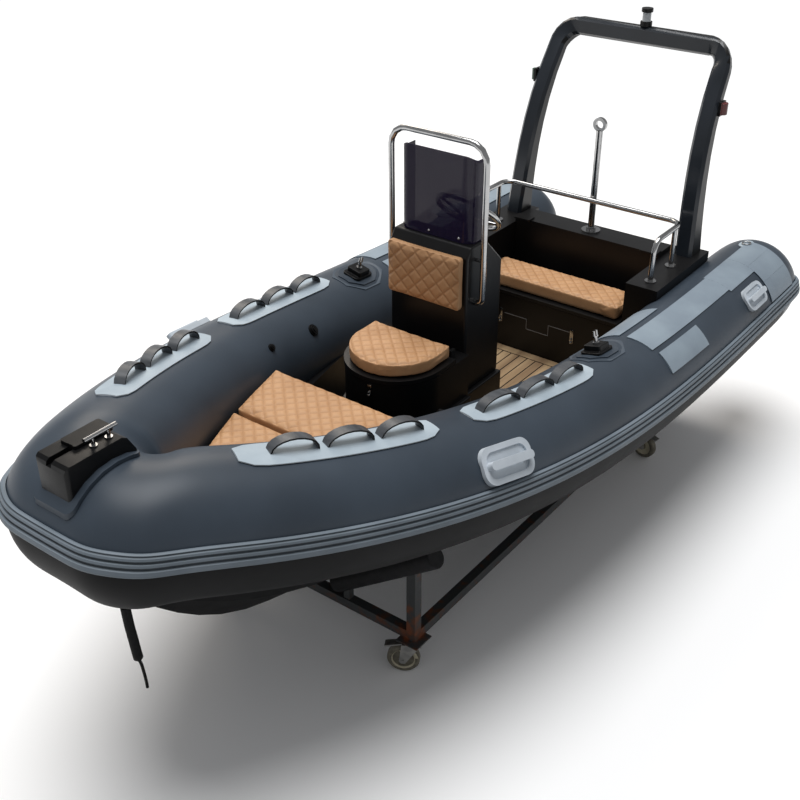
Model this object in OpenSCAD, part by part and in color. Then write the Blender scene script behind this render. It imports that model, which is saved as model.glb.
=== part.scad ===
// Rigid inflatable tender on a wheeled cradle.
// X runs forward to the bow, Y to port and Z up. The floor is Z = 0 and all lengths are millimetres.

/* [Inflatable tube] */
// Radius of the inflated tube
tube_r = 230; // [200:1:250]
// Half-breadth of the tube's centre line along the straight sides
tube_y = 670; // [620:1:720]
// Height of the tube's centre line at the stern
tube_z = 690; // [660:1:720]
// Where the sides begin to curve inward
taper_x = -900; // [-1000:5:-700]
// Foremost face of the blunt bow
bow_x = 1930; // [1880:5:1990]
// Heading of the sides where they meet the bow, from straight ahead
bow_deg = 31; // [27:1:35]
// Reach of the bow's rounded corner, as a share of the tube's diameter
bow_round = 1.07; // [1.03:0.01:1.12]
// Where the tube begins to rise toward the bow
sheer_x = -1200; // [-1300:10:-1100]
// Rise of the tube's centre line at one metre past that point
sheer_rise = 44.7; // [35:0.1:50]
// Where the rounded tails begin
tail_x = -1745; // [-1800:5:-1720]
// Length of the rounded tails
tail_len = 205; // [160:5:240]

/* [Rub strake] */
// Height of the strake's middle on the sides, as an angle above level
strake_deg = 9; // [5:1:13]
// Height of the strake's middle on the blunt bow, as an angle above level
strake_bow_deg = 16; // [10:1:20]
// Height of the strake band round the tube
strake_w = 70; // [60:1:80]
// Depth of the strake at its ridges
strake_t = 20; // [14:1:24]

/* [Grab patches and handles] */
// Thickness of the glued patches
patch_t = 4; // [3:0.5:6]
// Half-width of a grab patch round the tube, in degrees
patch_deg = 16; // [13:1:20]
// Width of a grab loop's webbing
loop_w = 40; // [34:1:46]
// Thickness of the webbing
loop_t = 6; // [5:0.5:8]
// Height of a grab loop above its patch
loop_rise = 44; // [38:1:56]
// Length of the large lifting handles
lift_len = 236; // [210:2:250]
// Height of the lifting handles' plates
lift_h = 132; // [120:2:140]
// Breadth of the grip bar
grip_w = 30; // [26:1:34]
// Side of the oarlock blocks
lock_w = 76; // [68:1:84]
// Diameter of the oarlock pins
lock_pin_d = 14; // [12:1:16]

/* [Hull] */
// Height of the keel along the after body
keel_z = 212; // [205:1:225]
// Where the keel begins to rise to the stem
stem_x0 = 600; // [560:5:640]
// Foot of the stem under the tube
stem_x1 = 1725; // [1715:1:1740]
// Inset of the chine from the tube's centre line
chine_in = 62; // [50:1:75]
// Height of the chine at the stern
chine_z = 440; // [430:1:450]
// Rise of the chine line at the stem
chine_rise = 360; // [340:5:370]
// Width of the spray rails and chine flats
rail_w = 20; // [14:1:26]
// Aft face of the hull
hull_x0 = -1500; // [-1540:5:-1480]
// Height of the cockpit sole
sole_z = 420; // [410:1:430]
// Half-breadth of the cockpit well
well_y = 480; // [465:1:490]
// Height of the bow platform
bow_deck_z = 868; // [855:1:880]
// Aft wall of the bow platform
bow_deck_x = 600; // [585:1:620]
// Thickness of the teak flooring
teak_t = 10; // [8:1:14]
// Width of one teak plank
plank_w = 46; // [40:1:60]
// Thickness of the sun pads
pad_t = 82; // [70:1:90]
// Where the two sun pads meet
pad_x = 918; // [880:1:950]
// Foremost end of the sun pads, back from the inner corner of the bow
pad_tip = 85; // [75:5:140]

/* [Console and front seat] */
// Half-width of the console
console_y = 185; // [175:1:195]
// Front face of the console
console_x1 = 50; // [40:1:60]
// Rear face of the console
console_x0 = -200; // [-215:1:-185]
// Height of the console's top
console_z = 1378; // [1360:1:1395]
// Fall of the sloping dash
dash_fall = 120; // [105:1:130]
// Height of the plinth's top
plinth_z = 750; // [735:1:770]
// How far the plinth stands proud of the console
plinth_out = 18; // [12:1:24]
// Radius of the seat's round front
seat_r = 205; // [196:1:212]
// Centre of the seat's round front
seat_x = 255; // [245:1:265]
// Height of the seat locker's rim
seat_rim_z = 935; // [925:1:945]
// Wall of the seat locker
seat_wall = 18; // [14:1:24]
// Thickness of the locker lids
lid_t = 18; // [14:1:22]
// Gap round the closed lids
lid_gap = 5; // [5:0.5:7]
// Diameter of the lids' hinge pins
hinge_d = 8; // [7:0.5:9]
// Running clearance of pins and shafts, on the radius
fit_gap = 0.05; // [0.03:0.01:0.08]
// Thickness of the front seat's cushion
seat_pad_t = 62; // [54:1:66]
// Height of the windshield above the console
shield_h = 345; // [320:1:350]
// Thickness of the windshield
shield_t = 6; // [5:0.5:8]
// Diameter of the stainless rails
rail_d = 25; // [22:1:28]
// Height of the console hoop's top bar
hoop_z = 1776; // [1760:1:1790]
// Radius of the hoop's upper bends
hoop_bend = 74; // [60:1:85]
// Diameter of the steering wheel
helm_d = 290; // [270:2:310]
// Tilt of the steering column from level
helm_tilt = 45; // [40:1:48]
// Diameter of the steering shaft
shaft_d = 20; // [18:1:24]

/* [Bench and stern] */
// Front face of the bench
bench_x1 = -910; // [-925:1:-895]
// Face of the bulkhead behind the bench
back_x = -1250; // [-1265:1:-1240]
// Height of the bench locker's rim
bench_rim_z = 705; // [695:1:715]
// Half-width between the side pods
pod_y = 390; // [380:1:400]
// Height of the side pods
pod_z = 930; // [925:1:936]
// Outboard edge of the side pods
pod_out = 545; // [535:1:555]
// Front of the side pods
pod_x1 = -930; // [-945:1:-920]
// Height of the bulkhead's ledge
ledge_z = 955; // [945:1:965]
// Aft edge of the ledge
ledge_x = -1390; // [-1400:1:-1375]
// Thickness of the bench cushion
bench_pad_t = 72; // [64:1:80]
// Height of the transom's top
transom_z = 745; // [730:1:760]
// Thickness of the transom board
transom_t = 50; // [44:1:56]
// Half-breadth of the stern rail
stern_rail_y = 472; // [462:1:480]
// Height of the stern rail
stern_rail_z = 1120; // [1100:1:1140]
// Foremost posts of the stern rail
stern_rail_x1 = -1008; // [-1020:1:-1000]
// Aft run of the stern rail
stern_rail_x0 = -1285; // [-1300:1:-1275]
// Place of the tow post
tow_x = -1315; // [-1325:1:-1305]
// Height of the tow eye's centre
tow_z = 1482; // [1450:1:1520]
// Diameter of the tow post
tow_d = 32; // [28:1:38]
// Bore of the tow eye
tow_bore = 38; // [32:1:42]

/* [Roll bar] */
// Half-breadth of the roll bar at its feet
bar_foot_y = 468; // [460:1:476]
// Half-breadth of the roll bar at its top
bar_top_y = 418; // [405:1:428]
// Height of the roll bar's top
bar_z = 1815; // [1790:1:1840]
// Place of the roll bar's feet
bar_x0 = -1410; // [-1420:1:-1395]
// Rake of the roll bar aft at its top
bar_rake = 282; // [255:1:300]
// Width of the roll bar's front face
bar_w = 84; // [74:1:92]
// Depth of the roll bar at its top
bar_t = 58; // [50:1:66]
// Depth of the roll bar's legs at their feet
bar_foot_t = 124; // [110:1:136]
// Radius of the roll bar's upper corners
bar_bend = 92; // [80:1:105]

/* [Bow fittings] */
// Half-width of the bow step
step_y = 68; // [60:1:76]
// Height of the bow step's plate above the tube
step_h = 74; // [64:1:82]
// Thickness of the step's base flange
flange_t = 12; // [9:0.5:12]
// Thickness of the cleat's plate
plate_t = 12; // [8:1:16]
// Length of the cleat's bar
cleat_len = 118; // [100:1:130]
// Diameter of the bow eye's rod
eye_d = 12; // [10:1:14]
// Diameter of the painter's sleeve
sleeve_d = 34; // [30:1:38]
// Diameter of the painter's rope
rope_d = 11; // [9:1:13]

/* [Cradle] */
// Side of the square steel tube
bar_a = 40; // [36:1:45]
// Half-breadth of the cradle
cradle_y = 495; // [480:1:510]
// Front of the cradle's frame
cradle_x1 = 810; // [790:5:830]
// Rear of the cradle's frame
cradle_x0 = -1040; // [-1060:5:-1020]
// Diameter of the padded bunks
bunk_d = 82; // [72:1:90]
// Reach of the bunks past the posts
bunk_out = 95; // [80:1:110]
// Inner end of the bunks from the keel
bunk_in = 130; // [110:1:150]

/* [Casters] */
// Diameter of the caster wheels
wheel_d = 125; // [110:1:132]
// Width of the caster wheels
wheel_w = 32; // [28:1:36]
// Trail of the casters
trail = 38; // [32:1:44]
// Height of the casters' top plates
caster_h = 156; // [152:1:164]
// Diameter of the caster axles and kingpins
axle_d = 12; // [10:1:14]

/* [Hidden] */
$fn = 48;
seat_gap = 0.6;
tube_sides = 28;
side_steps = 20;
fan_steps = 6;
// Headings of the four casters, as they stand: [name suffix, x sign, y sign, heading]
CASTERS = [["front_port", 1, 1, -60], ["front_starboard", 1, -1, 25], ["rear_port", -1, 1, 80],
  ["rear_starboard", -1, -1, -15]];
// Grab loops: [aft foot, fore foot] along X
LOOPS = [[0, 176], [196, 376], [398, 590], [860, 1018], [1048, 1202], [1232, 1376]];
// Grab patches: [aft end, fore end]
PATCHES = [[-50, 650], [805, 1470]];
// Lifting handles: [x, degrees above level, scale]
LIFTS = [[630, 36, 1], [-1325, 41, 0.8]];
lock_x = -235;
lock_deg = 104;
// Route of the painter below the bow eye
ROPE = [[1695, 0, 680], [1694, 1, 650], [1692, 2, 600], [1687, 4, 530], [1681, 6, 452], [1680, 7, 445], [1676, 12, 420],
  [1671, 8, 380], [1670, 14, 345], [1674, 20, 318]];
rope_sleeve_n = 5;

// Small helpers
function unit(v) = v / norm(v);
function flat(l) = [for (a = l) for (b = a) b];
function flip(v) = [v[0], -v[1], v[2]];
function back(l) = [for (i = [len(l) - 1:-1:0]) l[i]];

// Closed skin over a row of rings that run outboard, up, inboard and down along the direction of travel
module loft(rings) {
  n = len(rings[0]);
  m = len(rings);
  polyhedron(points = flat(rings), convexity = 8, faces = concat(
    [[for (k = [0:n - 1]) k]],
    [for (i = [0:m - 2]) for (k = [0:n - 1]) each [
      [i * n + k, (i + 1) * n + k, (i + 1) * n + (k + 1) % n],
      [i * n + k, (i + 1) * n + (k + 1) % n, i * n + (k + 1) % n]]],
    [[for (k = [n - 1:-1:0]) (m - 1) * n + k]]));
}

module both_sides() {
  children();
  mirror([0, 1, 0]) children();
}

// Plan and sheer of the tube
bow_y = tube_r * cos(bow_deg);
pivot_x = bow_x - 2 * tube_r;
side_x1 = pivot_x + tube_r * sin(bow_deg);
taper_n = tan(bow_deg) * (side_x1 - taper_x) / (tube_y - bow_y);
function side_t(x) = max(0, (x - taper_x) / (side_x1 - taper_x));
function side_y(x) = tube_y - (tube_y - bow_y) * pow(side_t(x), taper_n);
function side_dy(x) = -(tube_y - bow_y) * taper_n / (side_x1 - taper_x) * pow(side_t(x), taper_n - 1);
function sheer_t(x) = max(0, (x - sheer_x) / 1000);
function sheer_z(x) = tube_z + sheer_rise * pow(sheer_t(x), 2);
function sheer_dz(x) = 2 * sheer_rise * sheer_t(x) / 1000;

// A frame is [centre, outboard, up, half-breadth, half-height]
function side_frame(x, k = 1) =
  let (t = unit([1, side_dy(x), sheer_dz(x)]), o = unit([-side_dy(x), 1, 0]))
  [[x, side_y(x), sheer_z(x)], o, cross(t, o), tube_r * k, tube_r * k];
function tail_frame(a) =
  let (f = side_frame(tail_x, cos(a)))
  [f[0] - [tail_len * sin(a), 0, 0], f[1], f[2], f[3], f[4]];
fan_deg = 90 - bow_deg;
fan_in = 14;
function fan_reach(a) = 2 * tube_r * min(1 / cos(a), 1 / cos(fan_deg - a), bow_round);
function fan_frame(a) =
  let (o = [cos(a), sin(a), 0], d = fan_reach(a), h = (d + fan_in) / 2, p = atan(sheer_dz(side_x1)) * a / fan_deg,
    t = [sin(a), -cos(a), 0])
  [[pivot_x, 0, sheer_z(side_x1)] + o * h, o, [0, 0, 1] * cos(p) - t * sin(p), (d - fan_in) / 2, tube_r];
port_frames = concat(
  [for (a = [86, 72, 56, 38, 19]) tail_frame(a)],
  [for (x = [tail_x, sheer_x, (sheer_x + taper_x) / 2]) side_frame(x)],
  [for (i = [0:side_steps]) side_frame(taper_x + (side_x1 - 12 - taper_x) * i / side_steps)],
  [for (i = [1:fan_steps]) fan_frame(fan_deg * (1 - i / fan_steps))]);
tube_frames = concat(port_frames,
  [for (i = [len(port_frames) - 2:-1:0]) let (f = port_frames[i]) [flip(f[0]), flip(f[1]), flip(f[2]), f[3], f[4]]]);
function on_frame(f, a, h) = f[0] + f[1] * (f[3] + h) * cos(a) + f[2] * (f[4] + h) * sin(a);
function tube_ring(f, h) = [for (k = [0:tube_sides - 1]) on_frame(f, 360 * k / tube_sides, h)];
module tube_body(h = 0) {
  loft([for (f = tube_frames) tube_ring(f, h)]);
}
// Stretch of the port tube, for seats cut into what lies on it
module tube_stretch(x0, x1, h) {
  loft([for (i = [0:8]) tube_ring(side_frame(x0 + (x1 - x0) * i / 8), h)]);
}
// Sheet glued on the port tube between two angles that may change along X
module tube_sheet(x0, x1, nx, lo, hi, na, t) {
  loft([for (i = [0:nx]) let (x = x0 + (x1 - x0) * i / nx, f = side_frame(x)) concat(
    [for (k = [0:na]) on_frame(f, lo(x) + (hi(x) - lo(x)) * k / na, seat_gap + t)],
    [for (k = [na:-1:0]) on_frame(f, lo(x) + (hi(x) - lo(x)) * k / na, seat_gap)])]);
}
// Local axes on the port tube: X along it, Y round it upward, Z out of it
module on_tube(x, a, h = 0) {
  f = side_frame(x);
  r = f[1] * cos(a) + f[2] * sin(a);
  w = f[2] * cos(a) - f[1] * sin(a);
  u = cross(w, r);
  p = on_frame(f, a, h);
  multmatrix([[u[0], w[0], r[0], p[0]], [u[1], w[1], r[1], p[1]], [u[2], w[2], r[2], p[2]], [0, 0, 0, 1]]) children();
}

// Round pipe along points whose corners are bent to a radius
function bend_pts(a, b, c, r, n) =
  let (u = unit(a - b), v = unit(c - b), half = acos(u * v) / 2, d = r / tan(half), m = unit(u + v), o = b + m * r / sin(half))
  [for (i = [0:n]) let (p = b + u * d * (1 - i / n) + v * d * i / n) o + unit(p - o) * r];
function bent(pts, r, n) = concat([pts[0]],
  [for (i = [1:len(pts) - 2]) each bend_pts(pts[i - 1], pts[i], pts[i + 1], is_list(r) ? r[i - 1] : r, n)],
  [pts[len(pts) - 1]]);
function heading(p, i) = unit(p[min(i + 1, len(p) - 1)] - p[max(i - 1, 0)]);
function carry(p, i, u) = i >= len(p) ? [] :
  let (t = heading(p, i), w = unit(u - t * (u * t))) concat([w], carry(p, i + 1, w));
function pipe_rings(p, r, n, u) = let (us = carry(p, 0, u))
  [for (i = [0:len(p) - 1]) let (t = heading(p, i), v = cross(t, us[i]), ri = is_list(r) ? r[i] : r)
    [for (k = [0:n - 1]) p[i] + us[i] * ri * cos(360 * k / n) + v * ri * sin(360 * k / n)]];
module pipe(pts, r, bend, n = 12, u = [1, 0, 0.01]) {
  loft(pipe_rings(bent(pts, bend, 4), r, n, u));
}

// Block with rounded upright edges
module rounded(size, r) {
  linear_extrude(size[2]) rounded_plan(size[0], size[1], r);
}
module rounded_plan(w, d, r) {
  translate([r, 0]) square([w - 2 * r, d]);
  translate([0, r]) square([w, d - 2 * r]);
  for (x = [r, w - r]) for (y = [r, d - r]) translate([x, y]) circle(r);
}

// Hull sections
function keel_at(x) = keel_z + 407 * pow(max(0, (x - stem_x0) / 1000), 2.78);
function chine_y_at(x) = max(16, side_y(min(x, side_x1)) - chine_in) * min(1, (stem_x1 + 20 - x) / 260 + 0.02);
function chine_z_at(x) = chine_z + chine_rise * pow(max(0, (x - taper_x) / (stem_x1 - taper_x)), 2.5);
function hull_half(x) =
  let (k = keel_at(x), y = chine_y_at(x), z = max(chine_z_at(x), k + 24), w = min(rail_w, y / 4), ym = y * 0.52)
  [[0, k], [ym, k + (z - k) * 0.52], [ym + w, k + (z - k) * 0.52], [y, z], [y + w, z], [y + w, bow_deck_z]];
function hull_ring(x) = let (h = hull_half(x))
  concat([for (p = h) [x, p[0], p[1]]], [for (i = [len(h) - 1:-1:1]) [x, -h[i][0], h[i][1]]]);
HULL_X = [hull_x0, -1000, -500, 0, 300, stem_x0 - 40, 700, cradle_x1 - bunk_d / 2, cradle_x1, cradle_x1 + bunk_d / 2, 950, 1060,
  1180, 1300, 1400, 1490, 1570, 1640, stem_x1];

// The well keeps a wall of the hull's bottom outside the sole's edge, and ends above the tube's middle
well_wall = 24;
coaming = 60;
// Reach of cutting blocks past the boat
past = 900;
pod_x0 = bar_x0 - bar_foot_t / 2 - 8;
pod_z0 = tube_z - 110;
function well_half(x) = min(well_y,
  chine_y_at(x) * (sole_z - well_wall - keel_at(x)) / (chine_z_at(x) - keel_at(x)));
WELL_X = [pod_x0 - 4, -900, -600, -300, 0, 200, 400, bow_deck_x];

module hull() {
  color([0.03, 0.03, 0.035])
  difference() {
    loft([for (x = HULL_X) hull_ring(x)]);
    translate([0, 0, sole_z]) linear_extrude(past) polygon(concat(
      [for (x = WELL_X) [x, -well_half(x)]], [for (x = back(WELL_X)) [x, well_half(x)]]));
    translate([hull_x0 - 5, -past, transom_z - 120]) cube([pod_x0 - hull_x0 + 6, 2 * past, past]);
    translate([hull_x0 - 5, -past, tube_z + coaming]) cube([bow_deck_x - hull_x0 + 5, 2 * past, past]);
    both_sides() translate([pod_x0 - 0.4, 0, pod_z0 - 0.4]) cube([pod_x1 - pod_x0 + 0.8, pod_out + 0.4, past]);
    tube_body(seat_gap);
  }
}

module transom() {
  y = chine_y_at(hull_x0);
  color([0.05, 0.05, 0.055])
  difference() {
    translate([hull_x0 - transom_t - 0.2, 0, 0]) rotate([90, 0, 90]) linear_extrude(transom_t) polygon([
      [0, keel_z + 4], [y, chine_z + 4], [y, transom_z - 60], [320, transom_z], [-320, transom_z],
      [-y, transom_z - 60], [-y, chine_z + 4]]);
    both_sides() tube_stretch(hull_x0 - 200, hull_x0 + 150, seat_gap);
  }
}

module teak_floor() {
  x0 = bench_x1 + 4;
  x1 = console_x0 - plinth_out - 4;
  w = min(well_half(x0), well_half(x1)) - 12;
  color([0.55, 0.45, 0.33])
  difference() {
    translate([x0, -w, sole_z + 0.2]) cube([x1 - x0, 2 * w, teak_t]);
    for (i = [-floor(w / plank_w) + 1:floor(w / plank_w) - 1])
      translate([x0 + plank_w + 3, i * plank_w - 3, sole_z + teak_t - 2]) cube([x1 - x0 - plank_w - 3 + 1, 6, 4]);
    translate([x0 + plank_w, -w - 1, sole_z + teak_t - 2]) cube([6, 2 * w + 2, 4]);
  }
}

module inflatable_tube() {
  color([0.23, 0.25, 0.29]) tube_body();
}

// Ridged band: [share of the height from its lower edge, share of the depth]
RIDGES = [[0, 0.45], [0.05, 0.9], [0.1, 1], [0.3, 1], [0.36, 0.55], [0.42, 0.55], [0.47, 0.85], [0.58, 0.85], [0.63, 0.5],
  [0.68, 0.5], [0.73, 0.8], [0.83, 0.8], [0.88, 0.5], [0.94, 0.62], [1, 0.35]];
strake_span = strake_w / tube_r * 180 / PI;
bow_frame = len(port_frames) - 1;
function strake_at(i) =
  let (past = max(0, fan_steps - abs(i - bow_frame)))
  strake_deg + (strake_bow_deg - strake_deg) * min(1, past / 3) - strake_span / 2;
module rub_strake() {
  color([0.42, 0.46, 0.5]) loft([for (i = [2:len(tube_frames) - 3]) let (f = tube_frames[i], a0 = strake_at(i)) concat(
    [for (p = RIDGES) on_frame(f, a0 + strake_span * p[0], seat_gap + strake_t * p[1])],
    [for (k = [4:-1:0]) on_frame(f, a0 + strake_span * k / 4, seat_gap)])]);
}

// Light trim panels on the after part of the tube, with a dark window round the stern handle
panel_x0 = tail_x + 25;
panel_low = strake_deg + strake_span / 2 + 2;
window_x = -1465;
panel_band = (97 - panel_low) / 3;
module side_panels() {
  t = 2.5;
  color([0.52, 0.58, 0.64]) both_sides() {
    tube_sheet(-784, -425, 4, function(x) 104, function(x) 134, 5, t);
    tube_sheet(-792, -440, 4, function(x) 34, function(x) 59, 4, t);
    tube_sheet(-1200, -420, 8, function(x) 65, function(x) 95, 5, t);
    tube_sheet(window_x, -1200.5, 4, function(x) 62, function(x) 97, 6, t);
    for (k = [0:2]) tube_sheet(panel_x0, window_x - 0.5, 4,
      function(x) panel_low + k * panel_band, function(x) panel_low + (k + 1) * panel_band - 0.15, 6, t);
  }
}

function patch_half(u) = patch_deg * sqrt(max(0.3, 1 - pow(abs(u), 14)));
module grab_patches() {
  color([0.77, 0.81, 0.84]) both_sides() for (p = PATCHES) let (m = (p[0] + p[1]) / 2, l = (p[1] - p[0]) / 2)
    tube_sheet(p[0], p[1], 18, function(x) 90 - patch_half((x - m) / l), function(x) 90 + patch_half((x - m) / l), 6, patch_t);
}

function loop_ring(a, b, th) =
  let (l = (b - a) / 2, x = (a + b) / 2 - l * cos(th), f = side_frame(x), h = seat_gap + patch_t + 0.3 + loop_rise * sin(th),
    t = unit([l * sin(th), loop_rise * cos(th)]), o = f[1], s = cross(o, f[2]), p = f[0] + f[2] * (tube_r + h),
    v = f[2] * t[0] - s * t[1])
  [p + o * loop_w / 2 - v * loop_t / 2, p + o * loop_w / 2 + v * loop_t / 2, p - o * loop_w / 2 + v * loop_t / 2,
    p - o * loop_w / 2 - v * loop_t / 2];
module grab_loops() {
  color([0.16, 0.17, 0.18]) both_sides() for (p = LOOPS) loft([for (i = [0:10]) loop_ring(p[0], p[1], 18 * i)]);
}

// Moulded plate with a recess and a grip bar across it
module lifting_handle() {
  r = lift_h / 2 - 20;
  difference() {
    translate([-lift_len / 2, -lift_h / 2, -14]) rounded([lift_len, lift_h, 26], r);
    translate([-lift_len / 2 + 22, -lift_h / 2 + 20, 4]) rounded([lift_len - 44, lift_h - 40, 20], r - 14);
  }
  difference() {
    translate([-lift_len / 2 + 16, -grip_w / 2, 3]) rounded([lift_len - 32, grip_w, 35], grip_w / 2 - 0.5);
    translate([-lift_len / 2 + 44, -grip_w, 0]) cube([lift_len - 88, 2 * grip_w, 24]);
  }
}
module lifting_handles() {
  color([0.72, 0.78, 0.83]) both_sides() for (p = LIFTS) difference() {
    on_tube(p[0], p[1], 1) scale(p[2]) lifting_handle();
    tube_stretch(p[0] - 190, p[0] + 190, seat_gap);
  }
}

module oarlocks() {
  color([0.05, 0.05, 0.05]) both_sides() difference() {
    on_tube(lock_x, lock_deg) {
      translate([-lock_w / 2, -lock_w / 2, 4]) rounded([lock_w, lock_w, 24], 8);
      translate([-lock_w * 0.8, -lock_w * 0.6, -10]) rounded([lock_w * 1.6, lock_w * 1.2, 16], 22);
    }
    tube_stretch(lock_x - 120, lock_x + 120, seat_gap);
  }
}

module oarlock_pins() {
  color([0.75, 0.76, 0.78]) both_sides() on_tube(lock_x, lock_deg) {
    translate([0, 0, 28.2]) cylinder(d = lock_pin_d * 2, h = 5);
    translate([0, 0, 33]) cylinder(d = lock_pin_d, h = 26);
    for (s = [-1, 1]) translate([s * 9, 0, 56]) cylinder(d = 9, h = 24);
    translate([-13.5, -4.5, 54]) cube([27, 9, 6]);
  }
}

// Step moulding astride the bow on a flange that follows the tube, with a groove for the line
step_z = sheer_z(side_x1) + tube_r + step_h;
step_top = step_z - plate_t;
step_x0 = pivot_x + 130;
step_x1 = bow_x - 66;
plate_x = step_x0 + 40;
plate_len = 142;
module bow_step() {
  foot = step_top - 190;
  color([0.03, 0.03, 0.035]) difference() {
    union() {
      intersection() {
        rotate([90, 0, 0]) translate([0, 0, -step_y]) linear_extrude(2 * step_y) polygon([
          [step_x0, foot], [step_x0, step_top - 104], [step_x0 + 12, step_top - 60], [step_x0 + 40, step_top - 10],
          [step_x0 + 58, step_top], [step_x1 - 16, step_top], [step_x1 - 4, step_top - 8], [step_x1, step_top - 22],
          [step_x1, foot]]);
        translate([step_x0 - 1, -step_y, foot]) rounded([step_x1 - step_x0 + 2, 2 * step_y, 300], 16);
      }
      translate([plate_x, -step_y + 14, step_top - 1]) rounded([plate_len, step_y, plate_t + 1], 8);
      intersection() {
        tube_body(seat_gap + flange_t);
        translate([step_x0 + 4, -step_y - 22, foot]) rounded([step_x1 - step_x0 + 20, 2 * step_y + 44, 300], 30);
      }
    }
    translate([plate_x + plate_len - 2, -18, step_top - 20]) cube([step_x1 - plate_x - plate_len + 20, 22, 60]);
    tube_body(seat_gap);
  }
}

cleat_x = plate_x + 66;
cleat_y = step_y - 32;
module bow_cleat() {
  color([0.78, 0.79, 0.8]) {
    for (s = [-1, 1]) {
      translate([cleat_x + s * 28, cleat_y, step_top + 0.2]) cylinder(d = 24, h = 4);
      translate([cleat_x + s * 28, cleat_y, step_top + 0.2]) cylinder(d = 12, h = 32);
    }
    translate([cleat_x - cleat_len / 2, cleat_y, step_top + 32]) rotate([0, 90, 0]) cylinder(d = 14, h = cleat_len);
  }
}

eye_x = stem_x1 - 28;
eye_z = 707;
module bow_eye() {
  color([0.78, 0.79, 0.8]) difference() {
    translate([eye_x - 2, 0, eye_z]) {
      rotate([90, 0, 0]) rotate_extrude() translate([20, 0]) circle(d = eye_d);
      translate([0, 0, 19]) rotate([0, 25, 0]) cylinder(d = eye_d + 8, h = 40);
    }
    translate([0, 0, -0.3]) loft([for (x = HULL_X) hull_ring(x)]);
    tube_body(seat_gap);
  }
}

rope_r = [for (i = [0:len(ROPE) - 1]) i < rope_sleeve_n ? sleeve_d / 2 : rope_d / 2];
module painter_rope() {
  color([0.04, 0.04, 0.04]) loft(pipe_rings(ROPE, rope_r, 8, [1, 0, 0.01]));
}

// Sun pads fill the bow between the tubes
pad_tip_x = pivot_x - pad_tip;
pad_gap = 12;
function pad_off(x) = max(0, bow_deck_z - sheer_z(x), sheer_z(x) - bow_deck_z - pad_t);
function pad_reach(x) = sqrt(max(1, tube_r * tube_r - pow(pad_off(x), 2))) * sqrt(1 + pow(side_dy(x), 2));
function pad_half(x) = max(20, side_y(x) - pad_reach(x) - pad_gap);
module sun_pad(x0, x1) {
  n = 8;
  xs = [for (i = [0:n]) x0 + (x1 - x0) * i / n];
  translate([0, 0, bow_deck_z + 0.4]) linear_extrude(pad_t) polygon(concat(
    [for (x = xs) [x, -pad_half(x)]], [for (x = back(xs)) [x, pad_half(x)]]));
}
module sun_pad_rear() {
  color([0.82, 0.61, 0.44]) sun_pad(bow_deck_x - 2, pad_x - 3);
}
module sun_pad_front() {
  color([0.82, 0.61, 0.44]) sun_pad(pad_x + 3, pad_tip_x);
}

// Plan of the seat: straight sides and a round front
module seat_plan(x0, r) {
  translate([x0, -r]) square([seat_x - x0, 2 * r]);
  intersection() {
    translate([seat_x, 0]) circle(r);
    translate([seat_x - 1, -r]) square([r + 2, 2 * r]);
  }
}

module console_plinth() {
  color([0.03, 0.03, 0.035]) difference() {
    union() {
      translate([0, 0, sole_z + 0.2]) linear_extrude(plinth_z - sole_z) seat_plan(console_x1, seat_r + plinth_out);
      translate([console_x0 - 4, -console_y - plinth_out, sole_z + 0.2])
        cube([console_x1 - console_x0 + 4, 2 * (console_y + plinth_out), plinth_z - sole_z]);
    }
    translate([0, 0, sole_z + 30]) linear_extrude(plinth_z) seat_plan(console_x1 + seat_wall, seat_r - seat_wall);
  }
}

column = [-cos(helm_tilt), 0, sin(helm_tilt)];
dash_mid = [console_x0 + dash_fall / 2, 0, console_z - dash_fall / 2];
module console() {
  color([0.03, 0.03, 0.035]) difference() {
    union() {
      rotate([90, 0, 0]) translate([0, 0, -console_y]) linear_extrude(2 * console_y) polygon([
        [console_x0, plinth_z + 0.4], [console_x1, plinth_z + 0.4], [console_x1, console_z - 40],
        [console_x1 - 26, console_z], [console_x0 + dash_fall, console_z], [console_x0, console_z - dash_fall]]);
      translate(dash_mid) rotate([0, helm_tilt - 90, 0]) cylinder(d = 84, h = 30);
    }
    translate(dash_mid) rotate([0, helm_tilt - 90, 0]) translate([0, 0, -40]) cylinder(d = shaft_d + 2 * fit_gap, h = 90);
  }
}

// Bent acrylic screen with returned sides
module windshield() {
  w = console_y - 14;
  r = 48;
  x1 = console_x1 - 40;
  color([0.2, 0.18, 0.24, 0.75]) intersection() {
    translate([0, 0, console_z + 0.3]) linear_extrude(shield_h) difference() {
      translate([x1 - 150, -w]) rounded_plan(150, 2 * w, r);
      translate([x1 - 150 - shield_t, -w + shield_t]) rounded_plan(150, 2 * w - 2 * shield_t, r - shield_t);
      translate([x1 - 160, -w - 1]) square([60, 2 * w + 2]);
    }
    translate([x1 - 200, 0, console_z - 50]) rotate([90, 0, 90]) linear_extrude(400) translate([-w - 1, 0])
      rounded_plan(2 * w + 2, shield_h + 50, 44);
  }
}

hoop_y = console_y + rail_d / 2 + 22;
hoop_foot_z = console_z - 238;
hoop_x = console_x1 - 58;
module console_hoop() {
  color([0.78, 0.79, 0.8]) {
    pipe([[hoop_x, console_y + 0.4, hoop_foot_z], [hoop_x, hoop_y, hoop_foot_z], [hoop_x, hoop_y, hoop_z], [hoop_x, -hoop_y, hoop_z],
      [hoop_x, -hoop_y, hoop_foot_z], [hoop_x, -console_y - 0.4, hoop_foot_z]],
      rail_d / 2, [26, hoop_bend, hoop_bend, 26], 12, [1, 0.01, 0.02]);
    both_sides() translate([hoop_x, console_y + 0.4, console_z - 58]) rotate([-90, 0, 0])
      cylinder(d = 14, h = hoop_y - console_y - 2);
  }
}

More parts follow.
